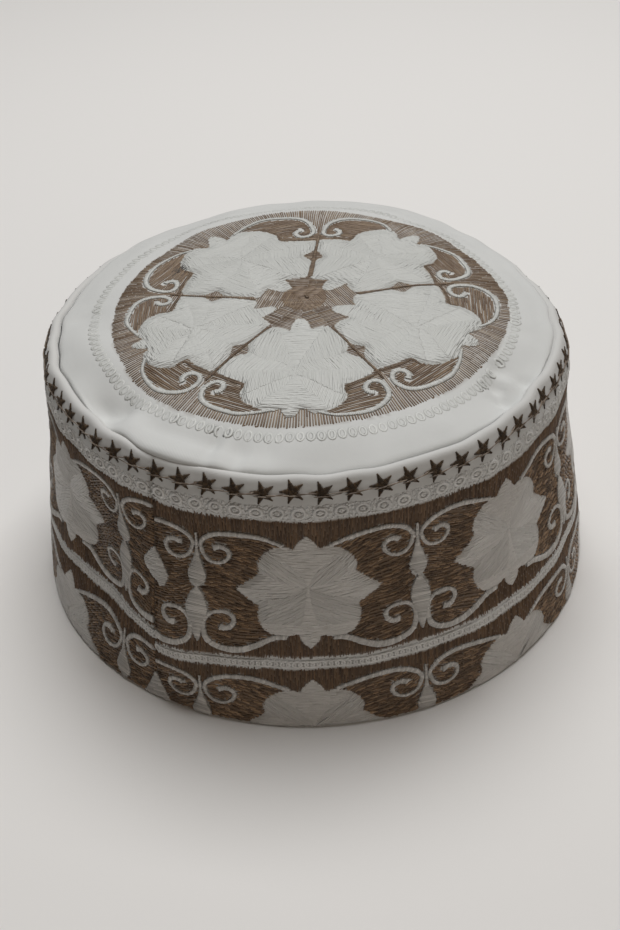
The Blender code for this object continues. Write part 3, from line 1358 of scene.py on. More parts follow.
            groups.append(local.moved(settle))
        every = Stitches.joined(groups)
        left = SEAM_BEARING * self.degree + self.seam_margin
        right = (SEAM_BEARING + 360) * self.degree - self.seam_margin
        centre = (every.start + every.end) / 2
        keep = (centre[:, 0] > left) & (centre[:, 0] < right) & (every.start[:, 1] < self.hem)
        keep &= every.end[:, 1] < self.hem + self.hem_reach
        every = every.kept(keep)
        below = every.end[:, 1] > self.hem
        share = (self.hem - every.start[below, 1]) / (every.end[below, 1] - every.start[below, 1])
        every.end[below] = every.start[below] + (every.end[below] - every.start[below]) * share[:, None]
        return every


@dataclass
class SideBand:
    """The stiff strip that goes round the head, with its rolled rim and its embroidery."""

    form: CapForm
    pattern: SidePattern
    round_steps: int = 450
    star_count: int = 65
    star_size: float = 3.75
    star_tall: float = 0.9
    star_drop: float = 2.3
    star_sink: float = 1.3
    sink_bearing: float = 165
    sink_spread: float = 60
    star_first: float = 1.63
    arm_shares: tuple = (0.0, 0.31, 1.0)
    arm_halves: tuple = (0.15, 0.98, 0.0)
    star_lean: float = -16.5
    field_slants: tuple = (9.0, -20.0)
    groove_width: float = 0.4
    groove_depth: float = 0.5
    groove_top: float = 2
    # Strength of the painted shadow along the seam, below and above the brown's top edge.
    seam_shadow_tints: tuple = (1.2, 0.3)
    face_depth: float = 1.2
    hem_roll: float = 0.6
    short_petals: tuple = (0, 4)
    padding_edge: float = 0.12
    padding_rise: float = 0.2
    ring_drop: float = 8.1
    ring_shapes: tuple = (((1.75, 1.4), 1.1), ((0.45, 0.35), 0.9))
    ring_height: float = 0.24
    chain_reach: tuple = (1.3, 1.0)
    chain_width: float = 1.0
    chain_height: float = 0.26
    bump_slants: tuple = (55, -50)
    ring_count: int = 91
    chain_count: int = 160

    def cloth(self) -> Cloth:
        """The chart of the band's outer face, in millimetres along and down."""
        return Cloth(lambda x, drop: self.form.band(x / self.pattern.degree, drop), mirrored=True)

    def profile(self) -> list[tuple[float, float]]:
        """Closed outline of the band's wall, as radii and heights: up inside, over the rim, down outside.

        Returns:
            Points of the outline.
        """
        form = self.form
        inner = [
            (form.flare(part.drop) + part.stand - form.band_wall, form.band_height - part.drop)
            for part in BAND_SECTIONS[1:]
        ]
        root = form.crease_radius + form.lip_reach
        lip = [
            (root, form.band_height - form.lip_underside - 0.5),
            (root - 0.4, form.band_height - form.lip_underside),
            (form.crease_radius + 0.4, form.band_height - form.lip_underside),
        ]
        along, radii, drops = form.skin.T
        marks = np.concatenate([np.arange(along[0], 1, 0.5), np.arange(1, form.band_height - 0.7, 0.95)])
        heights = form.band_height - np.interp(marks, along, drops)
        face = list(zip(np.interp(marks, along, radii), heights))
        hem = [
            (form.bottom_radius, 0.8), (form.bottom_radius - self.hem_roll, 0),
            (form.bottom_radius - form.band_wall + self.hem_roll, 0),
        ]
        return inner[::-1] + lip + face + hem

    def build_cloth(self) -> bpy.types.Object:
        """The cloth of the band.

        Returns:
            The object.
        """
        piece = turned_cloth("side_band_cloth", self.profile(), True, self.round_steps)
        points = turned_points(piece)
        x, y, height = points.T
        radius, bearing = np.hypot(x, y), np.degrees(np.arctan2(x, -y))
        drop = self.form.band_height - height
        bearing = np.where(bearing < SEAM_BEARING, bearing + 360, bearing)
        zone = self.pattern.chart.at(bearing * self.pattern.degree, drop)
        outside = radius > self.form.flare(drop) - self.face_depth
        # Brown underlay under the grounds, which also paints shade between their stitches.
        underlay_and_shade = np.where(outside & ((zone == Zone.OUTER) | (zone == Zone.FIELD)), 1.0, 0.0)
        # A painted shadow line darkens the cloth along the seam groove.
        groove = bell(past_seam(bearing), self.groove_width)
        underlay_and_shade = np.maximum(underlay_and_shade, groove * outside * np.where(drop > self.pattern.top_edge, *self.seam_shadow_tints))
        chart = np.stack([bearing * self.pattern.degree, drop], axis=1)
        radius = radius - self.groove_depth * groove * (drop > self.groove_top)
        settle_cloth(piece, self.form.settle(radius, height, bearing), chart, underlay_and_shade)
        finish = CottonFinish("band_cotton", (0.60, 0.597, 0.58, 1), (0.54, 0.537, 0.52, 1))
        piece.data.materials.append(finish.material())
        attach(piece, BODY)
        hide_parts("side_band")
        LOG.info("%s: %d faces", piece.name, len(piece.data.polygons))
        return piece

    def needle(self, name: str, finish: ThreadFinish, seed: int, smooth: bool = True) -> Needlework:
        """Needlework on the band's outer face."""
        return Needlework(self.cloth(), name, finish, Slot.EMBROIDERED, seed, smooth)

    def build_grounds(self) -> None:
        """The brown grounds: upright stitches along the white lines, wavy rows in the fields."""
        upright = self.needle("side_upright_ground", UPRIGHT_BROWN, 11)
        upright.sew(UPRIGHT_ROWS.fill(self.pattern.chart, Zone.OUTER, upright.rng), UPRIGHT_GAUGE)
        upright.done()
        rows = self.needle("side_field_ground", SIDE_BROWN, 12)
        for angle, right in zip(self.field_slants, (False, True)):
            stitches = FIELD_ROWS.turned(angle).fill(self.pattern.chart, Zone.FIELD, rows.rng)
            stitches = stitches.kept((self.pattern.across(stitches.start[:, 0]) > 0) == right)
            rows.sew(stitches, FIELD_GAUGE)
        rows.done()

    def build_flowers(self) -> None:
        """The cream flowers, in five petals whose stitches run different ways, and the tips at the seam."""
        work = self.needle("side_flowers", CREAM, 13, smooth=False)
        codes, depths = self.pattern.petals

        def padding(chart: np.ndarray) -> np.ndarray:
            """Height of the padding under a flower.

            Args:
                chart: Array whose last axis is the chart's two coordinates.

            Returns:
                Heights.
            """
            across = self.pattern.across(chart[..., 0])
            lean = self.pattern.lean(self.pattern.bearing(chart[..., 0]))
            down = chart[..., 1] - self.pattern.flower_drop - lean
            down = np.where(down > self.pattern.row_pitch / 2, down - self.pattern.row_pitch, down)
            return self.padding_edge + self.padding_rise * depths.at(across, down)

        for number, angle in enumerate(SIDE_PETAL_ANGLES):
            short = number in self.short_petals
            rows, gauge = (SHORT_PETAL_ROWS, SHORT_PETAL_GAUGE) if short else (PETAL_ROWS, PETAL_GAUGE)
            one = rows.turned(angle).fill(codes, number + 1, work.rng)
            every = self.pattern.repeated(one, range(0, 8), work.rng)
            leaf = min(number, len(SIDE_PETAL_ANGLES) - number)
            # The petal's tone carries painted sheen for the way its stitches run.
            tone, step = 0.45 + 2 * PAINTED_PETAL_SHEEN[leaf], 2 * PETAL_STEPS[leaf]
            gauge = gauge._replace(low=tone - 0.15, high=tone + 0.2)
            work.sew(every, gauge, lambda chart: padding(chart) + step)
        work.sew(TIP_ROWS.fill(self.tip_chart(), 1, work.rng), TIP_GAUGE)
        work.done()

    def tip_chart(self) -> Raster:
        """Chart of the cream tips that lie over the seam.

        Returns:
            A chart that holds 1 on the tips.
        """
        degree = self.pattern.degree
        box = ((SEAM_BEARING - 5) * degree, (SEAM_BEARING + 6) * degree, 24, self.pattern.hem)
        x, y = Raster.grid(box, self.pattern.fine_step)
        inside = np.zeros(x.shape, bool)
        for tip in self.pattern.SEAM_TIPS:
            inside |= outline_distance(x, y, np.array(tip) * (degree, 1)) < 0
        return Raster(box[0], box[2], self.pattern.fine_step, inside.astype(int))

    def build_scrolls(self) -> None:
        """The cream scrolls and posts, stitched straight across."""
        work = self.needle("side_scrolls", CREAM, 14, smooth=False)
        repeats = range(-1, 9)
        local = Stitches.joined([satin(stroke, 0.5, 14, work.rng) for stroke in self.pattern.strokes])
        work.sew(self.pattern.repeated(local, repeats, work.rng), SCROLL_GAUGE)
        post = satin(self.pattern.post, 0.5, 8, work.rng)
        work.sew(self.pattern.repeated(post, repeats, work.rng, self.pattern.period / 2), POST_GAUGE)
        work.done()

    def loops(self, middle: np.ndarray, drop: np.ndarray, reach: tuple[float, float]) -> np.ndarray:
        """Ovals set side by side round the band.

        Args:
            middle: Bearing of the middle of each.
            drop: Drop of the middle of each.
            reach: Half width and half height.

        Returns:
            Array of shape (ovals, points of an oval, 2).
        """
        turn = np.linspace(0, 2 * math.pi, OVAL_POINTS, endpoint=False)
        x = middle[:, None] * self.pattern.degree + reach[0] * np.cos(turn)
        y = np.broadcast_to(drop, middle.shape)[:, None] + reach[1] * np.sin(turn)
        return np.stack([x, y], axis=-1)

    @staticmethod
    def round_band(count: int, offset: float) -> np.ndarray:
        """Even bearings round the band from the seam on, moved by a share of their step."""
        return SEAM_BEARING + (np.arange(count) + offset) * 360 / count

    def build_white_lines(self) -> None:
        """The self-coloured double rings of the white band, and the chain along the middle line."""
        work = self.needle("side_white_rings", BAND_WHITE, 15, smooth=False)
        for angle in self.bump_slants:
            bumps = BUMP_ROWS.turned(angle).fill(self.pattern.chart, Zone.LINE, work.rng)
            work.sew(bumps, BUMP_GAUGE)
        middle = self.round_band(self.ring_count, 0.5)
        for reach, width in self.ring_shapes:
            work.cord(self.loops(middle, np.array(self.ring_drop), reach), width, self.ring_height)
        for offset in (0.5, 1.0):
            middle = self.round_band(self.chain_count, offset)
            drop = (self.pattern.mid_top + self.pattern.mid_bottom) / 2 + self.pattern.lean(middle)
            work.cord(self.loops(middle, drop, self.chain_reach), self.chain_width, self.chain_height)
        work.done()

    def star(self, rng: np.random.Generator) -> Stitches:
        """Stitches of one five-pointed star round its middle.

        Args:
            rng: Seeded random numbers.

        Returns:
            The stitches.
        """
        groups = []
        for arm in range(5):
            turn = math.radians(self.star_lean + 72 * arm)
            axis = np.array([math.sin(turn), -math.cos(turn)])
            path = axis * np.array(self.arm_shares)[:, None] * self.star_size
            groups.append(satin(np.column_stack([path, self.arm_halves]), 0.4, rng.normal(0, 6), rng))
        return Stitches.joined(groups).moved(lambda points: points * (1, self.star_tall))

    def build_stars(self) -> None:
        """The row of stars under the rim, and the thread that jumps from star to star."""
        work = self.needle("side_stars", STAR_BROWN, 16)
        jumps = self.needle("side_jump_threads", JUMP_TAN, 17)
        pitch = 360 / self.star_count * self.pattern.degree
        first = self.star_first * self.pattern.degree
        for number in range(self.star_count):
            across = first + number * pitch
            bearing = self.pattern.bearing(np.array(across))
            sink = self.star_sink * bell(bearing_gap(bearing, self.sink_bearing), self.sink_spread)
            middle = np.array([across, self.star_drop + sink]) + work.rng.normal(0, 0.12, 2)
            work.sew(self.star(work.rng).moved(lambda points: points + middle), STAR_GAUGE)
            start = middle + (1.0, 0.5 + work.rng.normal(0, 0.15))
            starts = np.array([start, start + (-0.4, 0.5), start + (-3.4, 0.5)])
            starts = starts + work.rng.normal(0, 0.12, starts.shape)
            ends = np.array([middle + (pitch - 1.0, 0.3), middle + (pitch - 2.4, 0.0), start + (0.6, 0.2)])
            jumps.sew(Stitches(starts, ends + work.rng.normal(0, 0.2, ends.shape)), JUMP_GAUGE)
        work.done()
        jumps.done()

    def build(self) -> None:
        """Builds the band and all its needlework."""
        self.build_cloth()
        self.build_grounds()
        self.build_flowers()
        self.build_scrolls()
        self.build_white_lines()
        self.build_stars()


# The crown


@dataclass
class CrownPattern:
    """The medallion: one sector, a flower between two scrolls, bent to fit each of the five real sectors."""

    centre_shift: float = -5.0
    reach: float = 63.0
    step: float = 0.25
    polar_step: float = 0.4
    half: float = 36.0
    far: float = 9
    arms_end: float = 46.8
    front: int = 1
    petal_hub: float = 38.0

    FLOWER = (
        (-34.6, 25.5), (-33.6, 23.6), (-31, 22), (-28, 21), (-22, 20.5), (-16, 21), (-12.5, 21.5),
        (-12.2, 19), (-11, 16), (-9, 15), (-5, 14.5), (-1, 15), (2, 16.5), (4, 19), (4.6, 20.5), (8, 20),
        (15, 19.8), (19, 20.3), (21.5, 22), (22.8, 24.5), (23.4, 27.5), (23.2, 30), (22, 32.3),
        (19.8, 34.8), (22.3, 37), (24.2, 39.2), (24.6, 42), (24.6, 45.6), (20, 46.6), (16, 47.1),
        (12.3, 47.5), (12.3, 50.5), (11.4, 53), (9.4, 55), (5, 57), (1.5, 57.2), (-2, 55.5), (-3.8, 57.8),
        (-5.5, 59), (-7.2, 57.8), (-8.3, 56), (-11, 57.2), (-14, 56.8), (-18.5, 55.5), (-21, 53.3),
        (-22.4, 50.5), (-22.8, 47.5), (-28, 46.9), (-32, 46.3), (-34.6, 45.6), (-34.6, 40), (-32.5, 37.4),
        (-29.5, 35), (-31.8, 32.4), (-34.2, 29.8), (-34.8, 27),
    )
    LEFT_ARC = (
        (-11, 57), (-15, 58.5), (-20, 59.8), (-25, 59.6), (-29, 59), (-32, 57.5), (-33.6, 55),
        (-33.8, 52.6), (-32.7, 50.4), (-31, 49.5), (-29.3, 49.9), (-28.3, 51.5), (-28.6, 53), (-30, 53.9),
    )
    RIGHT_ARC = (
        (2.5, 57), (7, 59.2), (12, 60), (17, 59.7), (21, 58.3), (23.8, 56), (24.6, 53), (24, 50.5),
        (22.3, 49.3), (20, 49.5), (18.4, 51), (18.6, 52.8), (20.2, 53.8),
    )
    SECTOR_BOX = (-42, 42, 5, 68)
    CHART_BOX = (-70, 70, -70, 70)
    POLAR_BOX = (-180, 180.4, 42, 68)
    ARC_GROUND = (0.5, 0.8, 0.95, 0.95, 0.9, 1.1)
    ARC_HALVES = (0.45, 0.68, 0.82, 0.82, 0.78, 0.95)
    DARK_EDGES = (
        ((-22.6, 52), (-22.7, 48.4), (-26, 48.2), (-31, 47.4), (-36, 46.8)),
        ((12.3, 51), (12.8, 48.5), (17, 48.1), (21, 47.6), (26, 47)),
    )

    def rays(self, radius: np.ndarray) -> np.ndarray:
        """Bearings of the five lines between flowers at given radii, and the first again a turn on.

        Args:
            radius: The radii.

        Returns:
            Array whose first axis is the six lines.
        """
        share = np.clip(radius / IDEAL_RAY.junction, 0, 1)
        lines = [ray.inner + (ray.outer - ray.inner) * share for ray in MEDALLION_RAYS]
        return np.stack(lines + [lines[0] + 360])

    @staticmethod
    def levels(sector: np.ndarray, share: np.ndarray) -> np.ndarray:
        """Radii of the diamond, the junction and the edge at a share of the way across a sector.

        Args:
            sector: Sector numbers.
            share: Shares of the way.

        Returns:
            Array whose first axis is the three radii.
        """
        table = np.array([ray[2:] for ray in MEDALLION_RAYS + MEDALLION_RAYS[:1]])
        blend = eased(share)
        return np.moveaxis(table[sector], -1, 0) * (1 - blend) + np.moveaxis(table[sector + 1], -1, 0) * blend

    @staticmethod
    def rescaled(radius: np.ndarray, old: tuple, new: tuple) -> np.ndarray:
        """Radii stretched step by step, so that the old diamond, junction and edge become the new ones.

        Args:
            radius: The radii.
            old: The three radii before.
            new: The three radii after.

        Returns:
            New radii.
        """
        outer = new[1] + (radius - old[1]) / (old[2] - old[1]) * (new[2] - new[1])
        middle = new[0] + (radius - old[0]) / (old[1] - old[0]) * (new[1] - new[0])
        return np.where(radius < old[0], radius / old[0] * new[0], np.where(radius < old[1], middle, outer))

    def ideal(self, x: np.ndarray, y: np.ndarray, sector: int | None = None) -> tuple[np.ndarray, ...]:
        """Where a point of the crown lies in the even medallion.

        Args:
            x: Coordinates across the cap.
            y: Coordinates from front to back.
            sector: The sector to measure from, or None for the one that holds each point.

        Returns:
            Sector numbers, angles from the flower's axis from -36 to 36, and radii.
        """
        offset = self.centre_shift * (1 - np.minimum(np.hypot(x, y) / self.reach, 1) ** 2)
        radius, bearing = np.hypot(x, y - offset), np.degrees(np.arctan2(x, offset - y))
        lines = self.rays(radius)
        turned = (bearing - lines[0]) % 360
        if sector is None:
            number = np.clip((turned[None] >= lines - lines[0]).sum(axis=0) - 1, 0, 4)
        else:
            number = np.full(x.shape, sector)
        start = np.take_along_axis(lines, number[None], 0)[0]
        width = np.take_along_axis(lines, number[None] + 1, 0)[0] - start
        turned = (bearing - start) % 360
        if sector is not None:
            turned = bearing_gap(bearing, 0) - bearing_gap(start, 0)
        share = turned / width
        even = self.rescaled(radius, self.levels(number, share), IDEAL_RAY[2:])
        return number, (share * 2 - 1) * self.half, even

    def real(self, sector: int, angle: np.ndarray, even: np.ndarray) -> np.ndarray:
        """Points of the crown at places of the even medallion.

        Args:
            sector: Sector number.
            angle: Angles from the flower's axis.
            even: Radii in the even medallion.

        Returns:
            Array of x and y.
        """
        share = (angle / self.half + 1) / 2
        number = np.full(angle.shape, sector)
        radius = self.rescaled(even, IDEAL_RAY[2:], self.levels(number, share))
        lines = self.rays(radius)
        bearing = np.radians(lines[sector] + share * (lines[sector + 1] - lines[sector]))
        x, y = radius * np.sin(bearing), -radius * np.cos(bearing)
        offset = np.zeros(x.shape)
        for _ in range(8):
            offset = self.centre_shift * (1 - np.minimum(np.hypot(x, y + offset) / self.reach, 1) ** 2)
        return np.stack([x, y + offset], axis=-1)

    def from_front(self, readings: tuple) -> tuple[np.ndarray, np.ndarray]:
        """Even angles and radii of points given as bearings and radii in the front sector.

        Args:
            readings: The points.

        Returns:
            Angles and radii.
        """
        bearing, radius = np.array(readings, float).T
        turn = np.radians(bearing)
        _, angle, even = self.ideal(radius * np.sin(turn), -radius * np.cos(turn), self.front)
        return angle, even

    @staticmethod
    def plane(angle: np.ndarray, even: np.ndarray) -> np.ndarray:
        """Even angles and radii as flat coordinates round the medallion's middle."""
        turn = np.radians(angle)
        return np.stack([even * np.sin(turn), even * np.cos(turn)], axis=-1)

    @cached_property
    def sector_charts(self) -> tuple[Raster, Raster]:
        """One even sector: distance from the flower and from the scroll arcs.

        Returns:
            Both charts.
        """
        box = self.SECTOR_BOX
        x, y = Raster.grid(box, self.step)
        outline = self.plane(*self.from_front(self.FLOWER + self.FLOWER[:1]))
        flower = outline_distance(x, y, smooth_path(outline, 0.5)[:-1])
        lines = [self.plane(*self.from_front(arc)) for arc in (self.LEFT_ARC, self.RIGHT_ARC)]
        arcs = [widened(line, self.ARC_GROUND) for line in lines]
        thin = np.minimum.reduce([stroke_distance(x, y, arc) for arc in arcs])
        return Raster(box[0], box[2], self.step, flower), Raster(box[0], box[2], self.step, thin)

    def look(self, x: np.ndarray, y: np.ndarray) -> tuple[np.ndarray, ...]:
        """Sector, even angle, even radius, and distances from the flower and the arcs, of crown points.

        Args:
            x: Coordinates across the cap.
            y: Coordinates from front to back.

        Returns:
            These five, each of the same shape as x.
        """
        sector, angle, even = self.ideal(x, y)
        spot = self.plane(angle, even)
        distances = [chart.at(spot[..., 0], spot[..., 1], self.far) for chart in self.sector_charts]
        return sector, angle, even, *distances

    @cached_property
    def chart(self) -> Raster:
        """The crown's chart, whose cells hold zones with the number of the sector, side or petal.

        Returns:
            The chart.
        """
        box = self.CHART_BOX
        x, y = Raster.grid(box, self.step)
        sector, angle, even, flower, thin = self.look(x, y)
        hub = self.plane(np.zeros(1), np.array([self.petal_hub]))[0]
        spot = self.plane(angle, even) - hub
        petal = petal_split(spot[..., 0], -spot[..., 1], CROWN_PETAL_EDGES)
        right = (angle > 0).astype(int)
        brown = (even < IDEAL_RAY.edge) & (flower > 0) & (thin > 0)
        cells = np.where(brown & (even < self.arms_end), Zone.CROWN_ARM + sector * 2 + right, 0)
        cells = np.where(brown & (even >= self.arms_end), Zone.CROWN_FIELD + sector * 2 + right, cells)
        cells = np.where(brown & self.outer(x, y), Zone.OUTER, cells)
        cells = np.where(flower <= 0, Zone.CROWN_PETAL + sector * 10 + petal, cells)
        return Raster(box[0], box[2], self.step, cells)

    @cached_property
    def polar(self) -> Raster:
        """The outer zone by bearing and radius: 1 where nothing cream lies between a spot and the edge.

        Returns:
            The chart.
        """
        box = self.POLAR_BOX
        bearing, radius = Raster.grid(box, self.polar_step)
        turn = np.radians(bearing)
        _, _, even, flower, thin = self.look(radius * np.sin(turn), -radius * np.cos(turn))
        inside = even < IDEAL_RAY.edge
        cream = ((flower <= 0) | (thin <= 0)) & inside
        blocked = np.maximum.accumulate(cream[::-1], axis=0)[::-1]
        return Raster(box[0], box[2], self.polar_step, (inside & ~blocked).astype(int))

    def outer(self, x: np.ndarray, y: np.ndarray) -> np.ndarray:
        """Whether points lie in the ring between the scrolls and the medallion's edge."""
        return self.polar.at(np.degrees(np.arctan2(x, -y)), np.hypot(x, y)) == 1

    def axis(self, sector: int) -> float:
        """Bearing of a flower's middle line.

        Args:
            sector: The flower's sector.

        Returns:
            The bearing.
        """
        bearings = [ray.outer for ray in MEDALLION_RAYS]
        bearings.append(bearings[0] + 360)
        return (bearings[sector] + bearings[sector + 1]) / 2


@dataclass
class CrownPanel:
    """The round top, tucked under the rim's lip, with its embroidered medallion."""

    form: CapForm
    pattern: CrownPattern
    round_steps: int = 330
    loop_radius: float = 66.3
    loop_count: int = 144
    stain: tuple = (-117.0, 46.0)
    stain_count: int = 26
    knot: tuple = (0.8, -2.2)
    hub_reach: float = 7.5
    knot_reach: float = 1.1
    ray_reach: tuple = (17.0, 47.5)
    ray_halves: tuple = ((17, 25, 50), (0.95, 0.5, 0.5))
    scroll_slant: float = 22
    dark_half: float = 0.5
    padding_edge: float = 0.1
    padding_rise: float = 0.12
    padding_slope: float = 2.0
    loop_reach: tuple = (0.95, 1.45)
    loop_width: float = 1.5
    loop_height: float = 0.1
    loop_lift: float = -0.04

    def cloth(self) -> Cloth:
        """The chart of the crown's upper face, in millimetres across and from front to back."""
        return Cloth(self.form.crown)

    def profile(self) -> list[tuple[float, float]]:
        """Outline of the crown's wall, as radii and heights: out over the top, round the tuck, back below.

        Returns:
            Points of the outline.
        """
        form = self.form
        inset = np.array([5.6, 4.7, 3.9, 3.2, 2.5, 1.9, 1.35, 0.9, 0.55, 0.3, 0.12, 0.03])
        radii = np.concatenate([[0], np.arange(1.5, form.crown_edge - 6.1, 1.05), form.crown_edge - inset])
        top = [(radius, float(form.crown_height(np.array(radius), np.array(0.0)))) for radius in radii]
        edge, tip = form.crown_edge, form.crown_edge + form.tuck_width
        above = form.band_height - form.tuck_drop
        below = above - form.crown_wall
        tuck = [(edge, above), (tip, above), (tip, below), (edge - form.crown_wall, below)]
        under = [(radius, height - form.crown_wall) for radius, height in top[-9:0:-7]]
        return top + tuck + under + [(0, top[0][1] - form.crown_wall)]

    def build_cloth(self) -> bpy.types.Object:
        """The cloth of the crown.

        Returns:
            The object.
        """
        form = self.form
        piece = turned_cloth("crown_panel_cloth", self.profile(), False, self.round_steps)
        points = turned_points(piece)
        x, y, height = points.T
        radius, bearing = np.hypot(x, y), np.degrees(np.arctan2(x, -y))
        free = radius < form.crown_edge - 0.01
        bend = form.crown_height(radius, bearing) - form.crown_height(radius, np.zeros(len(radius)))
        height = height + np.where(free, bend, 0)
        zone = self.pattern.chart.at(x, y)
        brown = (zone == Zone.OUTER) | ((zone >= Zone.CROWN_FIELD) & (zone < Zone.CROWN_PETAL))
        # A light brown underlay under the crown's grounds, which also paints shade between their stitches.
        underlay_and_shade = np.where(brown & (points[:, 2] > form.band_height - 4), 0.3, 0)
        upper = free & (points[:, 2] > form.crown_height(radius, np.zeros(len(radius))) - 0.3)
        grown = radius + np.where(upper, form.overhang(radius, bearing), 0)
        settle_cloth(piece, form.settle(grown, height, bearing), np.stack([x, y], axis=1), underlay_and_shade)
        piece.data.materials.append(CottonFinish("crown_cotton").material())
        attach(piece, BODY)
        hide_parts("crown_panel")
        LOG.info("%s: %d faces", piece.name, len(piece.data.polygons))
        return piece

    def needle(self, name: str, finish: ThreadFinish, seed: int, smooth: bool = True) -> Needlework:
        """Needlework on the crown's upper face."""
        return Needlework(self.cloth(), name, finish, Slot.WHITE, seed, smooth)

    def build_grounds(self) -> None:
        """The brown grounds: radial stitches round the edge, rows across the arms and along the scrolls."""
        work = self.needle("crown_grounds", CROWN_BROWN, 21)
        lines = RADIAL_ROWS.fill(self.pattern.polar, 1, work.rng)

        def unrolled(points: np.ndarray) -> np.ndarray:
            """Bearings and radii as crown coordinates."""
            turn = np.radians(points[:, 0])
            return np.stack([points[:, 1] * np.sin(turn), -points[:, 1] * np.cos(turn)], axis=1)

        work.sew(lines.moved(unrolled), RADIAL_GAUGE)
        for sector in range(5):
            for right in (0, 1):
                number = sector * 2 + right
                ray = (sector + right) % 5
                across = ARM_ROWS.turned(MEDALLION_RAYS[ray].inner + ARM_SLANTS[ray])
                work.sew(across.fill(self.pattern.chart, Zone.CROWN_ARM + number, work.rng), ARM_GAUGE)
                slant = self.scroll_slant if right else -self.scroll_slant
                along = SCROLL_ROWS.turned(self.pattern.axis(sector) + slant)
                stitches = along.fill(self.pattern.chart, Zone.CROWN_FIELD + number, work.rng)
                work.sew(stitches, CROWN_FIELD_GAUGE)
            reach = np.linspace(*self.ray_reach, 40)
            line = self.pattern.real(sector, np.full(len(reach), -self.pattern.half), reach)
            path = smooth_path(line, 0.3)
            half = np.interp(np.hypot(*path.T), *self.ray_halves)
            work.sew(satin(np.column_stack([path, half]), 0.6, 30, work.rng), RAY_GAUGE)
        rows = np.arange(-self.hub_reach, self.hub_reach, 0.6)[1:]
        half = np.sqrt(self.hub_reach ** 2 - rows ** 2)
        level = rows + self.knot[1]
        hub = Stitches(np.column_stack([-half, level]), np.column_stack([half, level]))
        work.sew(hub, HUB_GAUGE)
        work.done()

    def build_dark_edges(self) -> None:
        """The darker satin edge along the top of each scroll's ground."""
        work = self.needle("crown_dark_edges", EDGE_BROWN, 22)
        for sector in range(5):
            for readings in self.pattern.DARK_EDGES:
                angle, even = self.pattern.from_front(readings)
                path = smooth_path(self.pattern.real(sector, angle, even), 0.3)
                stroke = np.column_stack([path, np.full(len(path), self.dark_half)])
                work.sew(satin(stroke, 0.5, 10, work.rng), EDGE_GAUGE)
        turn = work.rng.random(8)[:, None] * 2 * math.pi
        reach = self.knot_reach * np.hstack([np.cos(turn), np.sin(turn)])
        work.sew(Stitches(np.array(self.knot) - reach, np.array(self.knot) + reach), KNOT_GAUGE)
        work.done()

    def build_flowers(self) -> None:
        """The white flowers, in petals whose stitches run different ways."""
        work = self.needle("crown_flowers", WHITE, 23, smooth=False)

        def padding(chart: np.ndarray) -> np.ndarray:
            """Height of the padding under a flower.

            Args:
                chart: Array whose last axis is the chart's two coordinates.

            Returns:
                Heights.
            """
            flower = self.pattern.look(chart[..., 0], chart[..., 1])[3]
            return self.padding_edge + self.padding_rise * np.clip(-flower / self.padding_slope, 0, 1)

        for sector in range(5):
            for petal, angle in enumerate(CROWN_PETAL_ANGLES):
                rows = CROWN_PETAL_ROWS.turned(self.pattern.axis(sector) + angle)
                stitches = rows.fill(self.pattern.chart, Zone.CROWN_PETAL + sector * 10 + petal, work.rng)
                leaf = min(petal, len(CROWN_PETAL_ANGLES) - petal)
                # The petal's tone carries painted sheen for the way its stitches run.
                tone, step = 0.4 + PAINTED_PETAL_SHEEN[leaf], PETAL_STEPS[leaf]
                gauge = CROWN_PETAL_GAUGE._replace(low=tone - 0.08, high=tone + 0.1)
                work.sew(stitches, gauge, lambda chart: padding(chart) + step)
        work.done()

    def build_scrolls(self) -> None:
        """The white scroll arcs."""
        work = self.needle("crown_scrolls", WHITE, 24, smooth=False)
        for sector in range(5):
            for readings in (self.pattern.LEFT_ARC, self.pattern.RIGHT_ARC):
                angle, even = self.pattern.from_front(readings)
                path = widened(self.pattern.real(sector, angle, even), self.pattern.ARC_HALVES)
                work.sew(satin(path, 0.5, 12, work.rng), CROWN_SCROLL_GAUGE)
        work.done()

    def build_loops(self) -> None:
        """The ring of raised self-coloured loops round the medallion."""
        work = self.needle("crown_loops", WHITE, 25, smooth=False)
        turn = np.linspace(0, 2 * math.pi, OVAL_POINTS, endpoint=False)
        middle = np.radians(np.arange(self.loop_count) * 360 / self.loop_count)[:, None]
        across = self.loop_reach[0] * np.cos(turn)[None]
        out = self.loop_radius + self.loop_reach[1] * np.sin(turn)[None]
        x = out * np.sin(middle) + across * np.cos(middle)
        y = -out * np.cos(middle) + across * np.sin(middle)
        work.cord(np.stack([x, y], axis=-1), self.loop_width, self.loop_height, self.loop_lift)
        work.done()

    def build_stain(self) -> None:
        """A small dark spot of soiled stitches in the back left of the medallion."""
        work = self.needle("crown_stain", STAIN, 26)
        bearing, radius = self.stain
        middle = np.array([math.sin(math.radians(bearing)), -math.cos(math.radians(bearing))]) * radius
        start = middle + work.rng.normal(0, 1.0, (self.stain_count, 2))
        end = start + np.array([0.9, 1.3]) + work.rng.normal(0, 0.3, start.shape)
        work.sew(Stitches(start, end), STAIN_GAUGE)
        work.done()

    def build(self) -> None:
        """Builds the crown and all its needlework."""
        self.build_cloth()
        self.build_grounds()
        self.build_dark_edges()
        self.build_flowers()
        self.build_scrolls()
        self.build_loops()
        self.build_stain()


